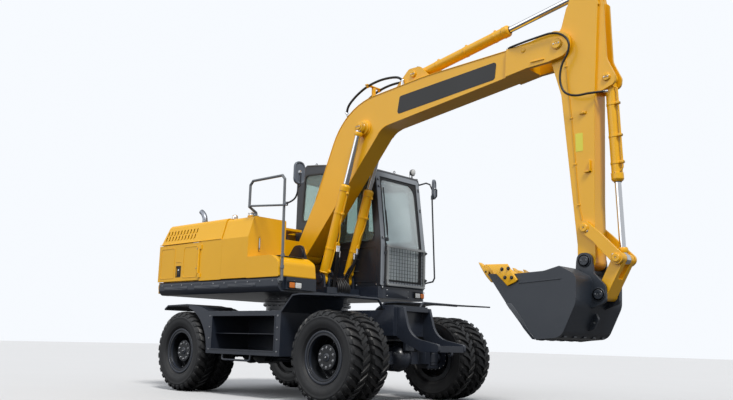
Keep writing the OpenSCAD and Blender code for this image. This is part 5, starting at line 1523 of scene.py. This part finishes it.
def makeInterior(look):
    y, half = look["middle"], look["half"]
    bm = bmesh.new()
    addPlate(bm, roundedOutline([(-830, 366, 20), (700, 366, 60), (700, 1194, 60), (-830, 1194, 20)]),
             1475.3, matTop, planPlane, 0, 3)
    for k in range(12):
        addBlock(bm, (220 + k * 38, 420, matTop - 1), (238 + k * 38, 1140, matTop + 3), 0, 1.5)
    # base with its bellows
    addBlock(bm, (-500, y - half, matTop - 1), (-140, y + half, matTop + 70), 0, 8)
    for k in range(5):
        low = matTop + 66 + k * 36
        addBlock(bm, (-510 + 4 * (k % 2), y - half - 10, low), (-130, y + half + 10, low + 40), 0, 15)
    # consoles with their joysticks
    for c in (475, 1085):
        addPlate(bm, roundedOutline([(-430, matTop - 1, 10), (110, matTop - 1, 30),
                                     (160, matTop + 500, 30), (120, matTop + 520, 20),
                                     (-120, matTop + 440, 60), (-430, matTop + 400, 40)]),
                 c - 45, c + 45, sidePlane, 0, 8)
        addTurned(bm, [(30, -4), (26, 8), (16, 14), (20, 20), (12, 30), (9, 44), (9, 90)],
                  (112, c, matTop + 512), (-0.1, 0, 1), 16, 0)
        addTurned(bm, [(9, 0), (18, 8), (21, 40), (19, 64), (13, 82), (0, 88)],
                  (104, c, matTop + 592), (-0.12, 0, 1), 16, 1)
        addBlock(bm, (-20, c - 30, matTop + 462), (70, c + 30, matTop + 500), 1, 6)
    # steering column with a wheel
    lean = Vector((-0.3746, 0, 0.9272))
    foot = Vector((420, y, matTop - 1))
    addTurned(bm, [(70, 0), (60, 30), (38, 80), (34, 430), (46, 470), (46, 640), (30, 690), (0, 694)],
              foot, lean, 20, 1)
    ring = alongAxis(foot + lean * 702, lean)
    turns = ringAngles(40) + [2 * math.pi]
    addTube(bm, [ring @ Vector((182 * math.cos(t), 182 * math.sin(t), 0)) for t in turns], 13, 0, 10)
    for t in (0.5, 2.6, 4.7):
        spoke = [ring @ Vector((r * math.cos(t), r * math.sin(t), z)) for r, z in ((30, -6), (176, 0))]
        addTube(bm, spoke, 9, 0, 8)
    addTurned(bm, [(44, -12), (46, 4), (36, 14), (0, 16)], foot + lean * 700, lean, 24, 0)
    # pedals, display on the right pillar
    for py in (640, 920):
        addPlate(bm, [(500, matTop + 20), (640, matTop + 110), (634, matTop + 120), (494, matTop + 30)],
                 py - 42, py + 42, sidePlane, 1, 3)
        addTube(bm, [(560, py, matTop), (566, py, matTop + 70)], 11, 1, 8)
    addBlock(bm, (430, 380, 2060), (470, 560, 2200), 0, 10)
    addBlock(bm, (427, 392, 2074), (431, 548, 2186), 1, 1)
    addPipe(bm, [(452, 372, 1500), (452, 372, 2000), (450, 420, 2080)], 40, 12, 1, 10)
    makePiece(bm, "cabFittings", "upper", ["trimBlack", "railGrey"],
              stands=["cab_interior"])


makeInterior(seat)


def makeCushion(name, size, place, crown=0.28):
    # a crowned cushion: soft edges and two sewn channels
    bm = bmesh.new()
    half = [s / 2 for s in size]
    n = 18
    grid = {}
    for side in (1, -1):
        for i in range(n + 1):
            for j in range(n + 1):
                u, v = -1 + 2 * i / n, -1 + 2 * j / n
                edge = (1 - u ** 4) ** 0.35 * (1 - v ** 4) ** 0.35 if abs(u) < 1 and abs(v) < 1 else 0
                channels = sum(math.exp(-((u - middle) / 0.05) ** 2) for middle in (0.42, -0.42))
                seam = 1 - 0.16 * channels if side > 0 else 1
                rise = half[2] * (0.72 * edge + crown * (1 - u * u) * (1 - v * v)) * seam
                squeeze = 1 - 0.05 * u * u * v * v
                key = (i, j, side if 0 < i < n and 0 < j < n else 0)
                if key not in grid:
                    spot = Vector((u * half[0] * squeeze, v * half[1] * squeeze, side * rise))
                    grid[key] = bm.verts.new(place @ spot)
        for i in range(n):
            for j in range(n):
                corners = ((i, j), (i + 1, j), (i + 1, j + 1), (i, j + 1))
                ring = [grid[(a, b, side if 0 < a < n and 0 < b < n else 0)] for a, b in corners]
                bm.faces.new(ring if side > 0 else ring[::-1])
    cushion = makePiece(bm, name, "upper", ["seatCloth"], angle=80, stands=["cab_interior"])


# size of each cushion, its middle's x and height over the mat, and its lean in degrees
cushions = {
    "seatCushion": ((530, 500, 125), -285, 362, -3),
    "seatBack": ((560, 470, 110), -590, 700, -77),
    "headRest": ((170, 270, 90), -672, 1050, -77),
}
for name, (size, x, height, lean) in cushions.items():
    makeCushion(name, size, turnedPlace((x, seat["middle"], matTop + height), lean, "Y"))
print("cab pieces made")

# Boom plate, flanges and the hose over the arm's joint
boomSide = {"half": 140, "flange": 6.5, "hose": 12,
            "plate": ((1436, 3548, 34), (1478, 3780, 34), (2931, 3894, 34), (2904, 3687, 34))}


def makeBoomSides(look):
    bm = bmesh.new()
    top = [(-368, 1955, 30), (10, 2640, 800), (510, 3822, 880), (1900, 3955, 4000), (3340, 3998, 0),
           (3340, 3712, 0), (1189, 3424, 260), (-160, 1832, 20)]
    outline = roundedOutline(top, 10)
    for hand in (-1, 1):
        y = hand * look["half"]
        addPlate(bm, roundedOutline(look["plate"]), y + hand * 0.2, y + hand * 2.2, sidePlane, 1)
        # edges of the top and bottom plates, which stand out over the sides
        addTube(bm, [(x, y + hand * 1, z) for x, z in outline[11:45]], look["flange"], 0, 8)
        addTube(bm, [(x, y + hand * 1, z) for x, z in outline[66:77]], look["flange"] - 1, 0, 8)
        # lifting eye plate and bosses near the nose
        addTurned(bm, [(0, 0), (26, 0), (26, 5), (20, 8), (0, 8)],
                  (3300, hand * 172, 3930), (0, hand, 0), 24, 0)
        addBlock(bm, (3395, y, 3760), (3560, y + hand * 44, 3772), 0, 3)
    # fittings on the arm cylinder's pipes, beside its base
    for y in (-46, 46):
        addFitting(bm, (1718, y, 4132), (-0.9, 0, 0.4), 10, 2)
    makePiece(bm, "boomSides", "boom", ["paintYellow", "plateBlack", "rodChrome"])
    bm = bmesh.new()
    y = -205
    path = smoothPath([(3086, -150, 3998), (3149, -176, 4004), (3365, y, 4010), (3560, y, 4022),
                       (3660, y, 4022), (3760, y, 3992), (3840, y, 3925), (3874, y, 3840),
                       (3850, y, 3741), (3790, y, 3640), (3762, y, 3520), (3775, y, 3400),
                       (3830, y, 3312), (3940, y, 3266), (4070, -190, 3266), (4180, -130, 3276),
                       (4232, -88, 3282)], 0.2)
    addTube(bm, path, look["hose"], 0, 12)
    for a, axis in (((3086, -150, 3998), (1, -0.4, 0.1)), ((4232, -88, 3282), (-0.8, -0.6, -0.1))):
        addTurned(bm, [(0, 0), (18, 0), (18, 16), (15, 20), (15, 44), (0, 44)], a, axis, 8, 1)
    hose = makePiece(bm, "noseHose", None, ["hoseRubber", "rodChrome"])
    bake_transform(hose)
    # hoses from the deck to the boom cylinders' pipes
    bm = bmesh.new()
    for hand in (-1, 1):
        for x, up, out in ((492, 1905, 191), (472, 1840, 161), (500, 1905, 172), (480, 1838, 142)):
            addHose(bm, [(x, hand * out, up), (x - 8, hand * (out - 4), up - 110),
                         (x - 60, hand * (out - 36), 1640), (x - 110, hand * (out - 64), 1520),
                         (x - 130, hand * (out - 76), 1384)], 0.2, 13, 0, 10)
            addTurned(bm, [(13.5, -58), (17, -56), (17, -8), (15, 0), (20, 1), (20, 22), (12, 24)],
                      (x, hand * out, up), (0.08, 0, 1), 12, 1)
    hoses = makePiece(bm, "baseHoses", None, ["hoseRubber", "rodChrome"])
    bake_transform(hoses)
    bm = bmesh.new()
    for k in range(7):
        y = -96 + k * 32
        addHose(bm, [(424, y, 1300 + 20 * (k % 2)), (452, y * 1.1, 1392),
                     (398, y * 0.9, 1476 + 12 * (k % 3)), (300, y * 0.8, 1490), (180, y * 0.7, 1440),
                     (150, y * 0.7, 1384)], 0.2, 13, 0, 10)
    addBlock(bm, (286, -110, 1468), (316, 110, 1482), 1, 3)
    for y in (-104, 104):
        addBlock(bm, (290, y - 6, 1386), (312, y + 6, 1474), 1, 2)
    makePiece(bm, "deckHoses", "upper", ["hoseRubber", "paintGrey"])


makeBoomSides(boomSide)

# Small fittings on the arm's sides: stop bracket, lifting lug and a blank label
armSide = {"half": 117, "label": (3876, 2690, 3960, 2885), "lug": (3971, 3092),
           "bracket": (3977, 2456, 4040, 2580)}


def makeArmSides(look):
    bm = bmesh.new()
    x0, z0, x1, z1 = look["label"]
    for hand in (-1, 1):
        y = hand * look["half"]
        label = roundedOutline(rectangle(x0, z0, x1, z1, 8))
        addPlate(bm, label, y + hand * 0.5, y + hand * 2.2, sidePlane, 1)
        x, z = look["lug"]
        addBlock(bm, (x - 34, y, z - 14), (x + 34, y + hand * 18, z + 14), 0, 3)
        nut = [(0, 0), (15, 0), (15, 10), (12, 13), (0, 13)]
        addTurned(bm, nut, (x, y + hand * 17, z), (0, hand, 0), 6, 0)
        a, b, c, d = look["bracket"]
        addBlock(bm, (c - 12, y, b), (c, y + hand * 31, d), 0, 2)
        addBlock(bm, (a, y, b), (c, y + hand * 31, b + 12), 0, 2)
    makePiece(bm, "armSides", "arm", ["paintYellow", "labelYellow"])


makeArmSides(armSide)

# Upper structure: slewing ring, door pressings, cooler grille, beams and rear
ringLook = {"bolts": 30, "boltCircle": 577, "slewX": -250}


def makeSlewRing(look):
    x = look["slewX"]
    lower = [(560, -40), (596, -40), (600, -36), (600, -12), (596, -8), (556, -8)]
    upper = [(550, 6), (588, 6), (592, 10), (592, 30), (588, 34), (548, 34)]
    for name, body, profile, z, boltZ, up in (("ringLower", "chassis", lower, 1188, 1148, -1),
                                              ("ringUpper", "upper", upper, 1190, 1224, 1)):
        bm = bmesh.new()
        addTurned(bm, profile, (x, 0, z), upAxis, 96, 0)
        for t in ringAngles(look["bolts"]):
            spot = (x + look["boltCircle"] * math.cos(t), look["boltCircle"] * math.sin(t), boltZ)
            addBolt(bm, spot, (0, 0, up), 15, 1)
        makePiece(bm, name, body, ["paintGrey", "boltSteel"])


makeSlewRing(ringLook)

doorPressing = {"low": 1500, "high": 1930, "corner": 34, "width": 12}


def addPressing(bm, x0, x1, hand, look):
    rows = rectangle(x0, look["low"], x1, look["high"], look["corner"])
    y = hand * bodySide
    addFrame(bm, rows, 0, look["width"], y - hand * 0.4, y + hand * 3.2)


def makeBodyTrim():
    bm = bmesh.new()
    addPressing(bm, -2040, -1690, -1, doorPressing)
    addPressing(bm, -1480, -1140, -1, doorPressing)
    addBlock(bm, (-1655, -bodySide - 4, 1720), (-1525, -bodySide + 0.5, 1726), 0, 1.5)
    for z in (1620, 1884):
        for dx in (-28, 28):
            addBolt(bm, (-1139 + dx * 0.9, -bodySide, z), rightAxis, 10, 1)
    makePiece(bm, "engineDoorTrim", "engine_door", ["paintYellow", "boltSteel"])
    bm = bmesh.new()
    x0, x1, z0, z1 = -2010, -1480, 1520, 1920
    rows = rectangle(x0, z0, x1, z1, 24)
    addFrame(bm, rows, 0, 26, bodySide - 1, bodySide + 7)
    addPlate(bm, roundedOutline(grown(rows, 24)), bodySide - 0.4, bodySide + 0.6, sidePlane, 1)
    for k in range(19):
        z = z0 + 34 + k * 18.4
        addBlock(bm, (x0 + 24, bodySide, z), (x1 - 24, bodySide + 5, z + 6), 0, 1)
    for k in range(1, 4):
        x = x0 + (x1 - x0) * k / 4
        addBlock(bm, (x - 7, bodySide, z0 + 24), (x + 7, bodySide + 6, z1 - 24), 0, 1)
    addPressing(bm, -1250, -1130, 1, doorPressing)
    makePiece(bm, "coolerGrille", "cooler_door", ["paintYellow", "trimBlack"])
    # side beams: covers and bolts; shelf behind the lamps; tank and box seams
    bm = bmesh.new()
    for x in range(-1960, 500, 240):
        addBolt(bm, (x, 0.4 - bodySide, 1400), rightAxis, 12, 1)
        if x < -950:
            addBolt(bm, (x, bodySide - 0.4, 1400), leftAxis, 12, 1)
    for x0 in (-1900, -1180, -440):
        rows = rectangle(x0, 1336, x0 + 560, 1384, 10)
        addPlate(bm, roundedOutline(rows), -bodySide - 2.6, 1 - bodySide, sidePlane, 0, 1)
    addBlock(bm, (591, -1120, 1294), (598, -896, 1306), 0, 2)
    addBlock(bm, (591, -1120, 1394), (622, -896, 1402), 0, 2)
    addBlock(bm, (806, 996, 1388), (838, 1212, 1396), 0, 2)
    # cover of the base of the cab, in front
    rows = rectangle(430, 1290, 900, 1410, 14)
    addPlate(bm, roundedOutline(rows), 805, 809, crossPlane, 0, 1.5)
    for y, z in ((452, 1312), (878, 1312), (452, 1388), (878, 1388)):
        addBolt(bm, (808.6, y, z), frontAxis, 10, 1)
    # deck edge in front of the cylinders
    addBlock(bm, (470, -290, 1300), (484, 286, 1316), 0, 3)
    makePiece(bm, "beamTrim", "upper", ["paintGrey", "boltSteel"])
    bm = bmesh.new()
    # counterweight: rear lamps, reflectors, seam and lifting eyes
    for hand in (-1, 1):
        addBlock(bm, (-2112, hand * 1130, 1360), (-2092, hand * 1190, 1420), 1, 6)
        place = turnedPlace((-2166, hand * 960, 1500), 180) @ crossPlane
        outline = roundedOutline(rectangle(-80, -32, 80, 32, 12))
        addShell(bm, outline, [(1, -20), (1, 12), (0.98, 16), (0.93, 16)], place, 1)
        addShell(bm, outline, [(0.93, 14), (0.93, 22), (0.88, 25)], place, 2)
        for x, z in ((-2140, 1640), (-2140, 1900)):
            addBolt(bm, (x, hand * 700, z), (-1, 0, 0), 26, 3)
        turns = ringAngles(16) + [2 * math.pi]
        ring = [(-2060 + 34 * math.cos(t), hand * 760, 2002 + 34 * math.sin(t)) for t in turns]
        addTube(bm, ring, 10, 3, 8)
    for y in (-300, 0, 300):
        addBlock(bm, (-2196, y - 100, 1560), (-2189, y + 100, 1572), 0, 2)
    makePiece(bm, "counterweightTrim", "upper",
              ["paintYellow", "trimBlack", "redLens", "boltSteel"])
    # handrail feet and clamps, grab rail flanges, steps on the tank's front
    bm = bmesh.new()
    addTurned(bm, [(17.4, 0), (42, 0), (42, 7), (24, 10), (17.4, 22)],
              (-112, -1085, 2250.5), upAxis, 24, 0)
    addTurned(bm, [(17.4, 0), (38, 0), (38, 7), (22, 10), (17.4, 22)],
              (545.5, -1196, 1400), frontAxis, 24, 0)
    for z in (1560, 1700):
        addTurned(bm, [(17.2, -20), (23, -20), (23, 20), (17.2, 20)], (580, -1196, z), upAxis, 24, 0)
        addBlock(bm, (545, -1204, z - 12), (572, -1188, z + 12), 0, 3)
    for x, z in ((650, 2960), (790, 1530)):
        flange = [(11.3, 0), (30, 0), (30, 5), (16, 8), (11.3, 14)]
        addTurned(bm, flange, (x, cabLeft + 0.4, z), leftAxis, 20, 0)
    for k in range(4):
        addBlock(bm, (60 + k * 100, -1130, 1715.5), (130 + k * 100, -700, 1719), 1, 1)
    makePiece(bm, "railFeet", "upper", ["railGrey", "trimBlack"])


makeBodyTrim()
print("upper pieces made")

# Chassis: boxes, fenders and axles
chassisLook = {"boxFront": 645, "boxRear": -800, "out": 1240}


def makeChassisTrim(look):
    bm = bmesh.new()
    x0, x1 = look["boxRear"], look["boxFront"]
    for hand in (-1, 1):
        y = hand * look["out"]
        # rolled edge round the storage's mouth, with bolts
        rows = rectangle(x0 + 105, 568, x1 - 105, 980, 12)
        addFrame(bm, rows, 13, 1, y - hand * 2, y + hand * 4)
        for x in (x0 + 52, x1 - 52):
            for z in (560, 700, 840, 980):
                addBolt(bm, (x, y, z), (0, hand, 0), 13, 1)
        # step bars below the box and treads on top
        addPipe(bm, [(x0 + 330, y - hand * 26, 512), (x0 + 330, y - hand * 20, 440),
                     (x1 - 560, y - hand * 20, 440), (x1 - 560, y - hand * 26, 512)], 26, 13, 0, 10)
        for k in range(11):
            x = x0 + 120 + k * 110
            addBlock(bm, (x, y - hand * 40, 1039), (x + 70, y - hand * 230, 1043.5), 1, 1.5)
        # shelf inside
        addBlock(bm, (x0 + 110, y - hand * 60, 760), (x1 - 110, y - hand * 590, 768), 0, 2)
        # lip under the front fender's edge and its stay
        addPipe(bm, [(835, y - hand * 8, 1214), (960, y - hand * 8, 1226), (1900, y - hand * 8, 1182)],
                60, 7, 0, 8)
        for x, low, high, end in ((1440, 1100, 1204, 1140), (rearAxle, 1040, 1118, 1160)):
            stay = bentPath([(x, hand * 330, low), (x, hand * 420, high), (x, hand * end, high)], 30)
            addTube(bm, stay, 16, 0, 10)
    # frame: hoses along the underside, and to the steering cylinder
    for k, y in enumerate((-150, -110, 110, 150)):
        addHose(bm, [(-900, y, 742), (-300, y * 0.9, 726), (300, y * 0.9, 726), (900, y, 736),
                     (1110, y * 1.1, 700), (1180, y * 1.3, 580)], 0.2, 10, 2, 8)
    for x in (-600, 0, 600):
        addBlock(bm, (x - 14, -180, 714), (x + 14, 180, 741), 0, 3)
    makePiece(bm, "chassisTrim", "chassis", ["paintGrey", "boltSteel", "hoseRubber"])
    bm = bmesh.new()
    for x, hand in ((frontAxle, 1), (rearAxle, -1)):
        # differential: cover with bolts, ribs and pipes of the housing
        for t in ringAngles(14):
            spot = (x + hand * 37, 154 * math.cos(t), axleHeight + 154 * math.sin(t))
            addBolt(bm, spot, (hand, 0, 0), 12, 1)
        cover = [(140, 0), (166, 0), (168, 3), (168, 15), (140, 18)]
        addTurned(bm, cover, (x + hand * 20, 0, axleHeight), (hand, 0, 0), 48, 0)
        for side in (-1, 1):
            for reach in (190, 330, 470):
                addBlock(bm, (x - 80, side * reach - 7, 443), (x + 80, side * reach + 7, 601), 0, 3)
            pipe = [(x - 60, side * 140, 604), (x - 40, side * 260, 640), (x - 50, side * 420, 630),
                    (x - 30, side * 520, 606)]
            addHose(bm, pipe, 0.2, 8, 2, 8)
    makePiece(bm, "axleTrim", "chassis", ["paintGrey", "boltSteel", "hoseRubber"])
    for name, hand in (("knuckle_left", 1), ("knuckle_right", -1)):
        bm = bmesh.new()
        x, kingpin, flange = frontAxle, hand * 700, hand * 812
        addTurned(bm, [(70, -60), (76, -56), (76, 56), (70, 60)], (x, kingpin, axleHeight), upAxis, 32, 0)
        rim = [(125, 0), (138, 0), (140, 4), (140, 16), (136, 20), (125, 20)]
        addTurned(bm, rim, (x, flange, axleHeight), (0, hand, 0), 40, 0)
        for t in ringAngles(12, 0.5):
            spot = (x + 132 * math.cos(t), flange, axleHeight + 132 * math.sin(t))
            addBolt(bm, spot, (0, -hand, 0), 11, 1)
        makePiece(bm, "knuckleTrim" + ("Left" if hand > 0 else "Right"), name,
                  ["paintGrey", "boltSteel"])
    bm = bmesh.new()
    for hand in (-1, 1):
        for up in (1, -1):
            x, y, z = frontAxle, hand * 700, axleHeight + up * 130
            addTurned(bm, [(31, 0), (64, 0), (64, 6), (52, 10), (31, 11)], (x, y, z), (0, 0, up), 32, 0)
            for t in ringAngles(6):
                addBolt(bm, (x + 50 * math.cos(t), y + 50 * math.sin(t), z + up * 9), (0, 0, up), 12, 1)
    makePiece(bm, "kingpinCaps", "chassis", ["paintGrey", "boltSteel"])


makeChassisTrim(chassisLook)
print("chassis pieces made")

# Floor, background and lights
studio = {"floor": (0.66, 0.67, 0.69, 1), "bounce": (0.07, 0.07, 0.072, 1), "backdrop": 1.0, "sky": 0.50,
          "sunPower": 2.5}


def makeStage(look):
    mesh = bpy.data.meshes.new("studioFloor")
    size = 60
    corners = rectangle(-size, -size, size, size, 0)
    mesh.from_pydata(corners, [], [(0, 1, 2, 3)])
    floor = bpy.data.objects.new("studioFloor", mesh)
    floor.location.z = cadBox[0].z - 0.001
    bpy.context.scene.collection.objects.link(floor)
    made, tree, shader = newMaterial("floorPale")
    grain = placeGroup(tree, surfaceGrain, Broad_Scale=0.7, Fine_Scale=45.0)
    seenFloor = mixColour(tree, grain.outputs["Broad"], look["floor"], darker(look["floor"], 0.96))
    # the floor throws less light back under the machine than it shows
    paths = tree.nodes.new("ShaderNodeLightPath")
    bounce = mathNode(tree, "MAXIMUM", paths.outputs["Is Diffuse Ray"], paths.outputs["Is Glossy Ray"])
    tree.links.new(mixColour(tree, bounce, seenFloor, look["bounce"]), shader.inputs["Base Color"])
    shader.inputs["Roughness"].default_value = 0.9
    mesh.materials.append(made)
    world = bpy.data.worlds.new("studioWorld")
    bpy.context.scene.world = world
    world.use_nodes = True
    tree = world.node_tree
    background = tree.nodes["Background"]
    paths = tree.nodes.new("ShaderNodeLightPath")
    seen = mathNode(tree, "MAXIMUM", paths.outputs["Is Camera Ray"], paths.outputs["Is Transmission Ray"])
    glossy = mathNode(tree, "MULTIPLY", paths.outputs["Is Glossy Ray"], 0.25)
    seen = mathNode(tree, "MAXIMUM", seen, glossy)
    strength = tree.nodes.new("ShaderNodeMix")
    strength.inputs[2].default_value = look["sky"]
    strength.inputs[3].default_value = look["backdrop"]
    tree.links.new(seen, strength.inputs[0])
    tree.links.new(strength.outputs[0], background.inputs["Strength"])
    background.inputs["Color"].default_value = (0.93, 0.96, 1.0, 1)


def addSun(name, power, angle, azimuth, height, colour):
    light = bpy.data.lights.new(name, "SUN")
    light.energy = power
    light.angle = math.radians(angle)
    light.color = colour
    lamp = bpy.data.objects.new(name, light)
    a, e = math.radians(azimuth), math.radians(height)
    source = Vector((math.cos(a) * math.cos(e), math.sin(a) * math.cos(e), math.sin(e)))
    lamp.rotation_mode = "QUATERNION"
    lamp.rotation_quaternion = source.to_track_quat("Z", "Y")
    bpy.context.scene.collection.objects.link(lamp)


makeStage(studio)
addSun("keySun", studio["sunPower"], 14, -28, 52, (1.0, 0.97, 0.92))
addSun("fillSun", 0.9, 60, -110, 30, (0.97, 0.98, 1.0))
bpy.context.scene.view_settings.view_transform = "Standard"
print("stage and lights made")
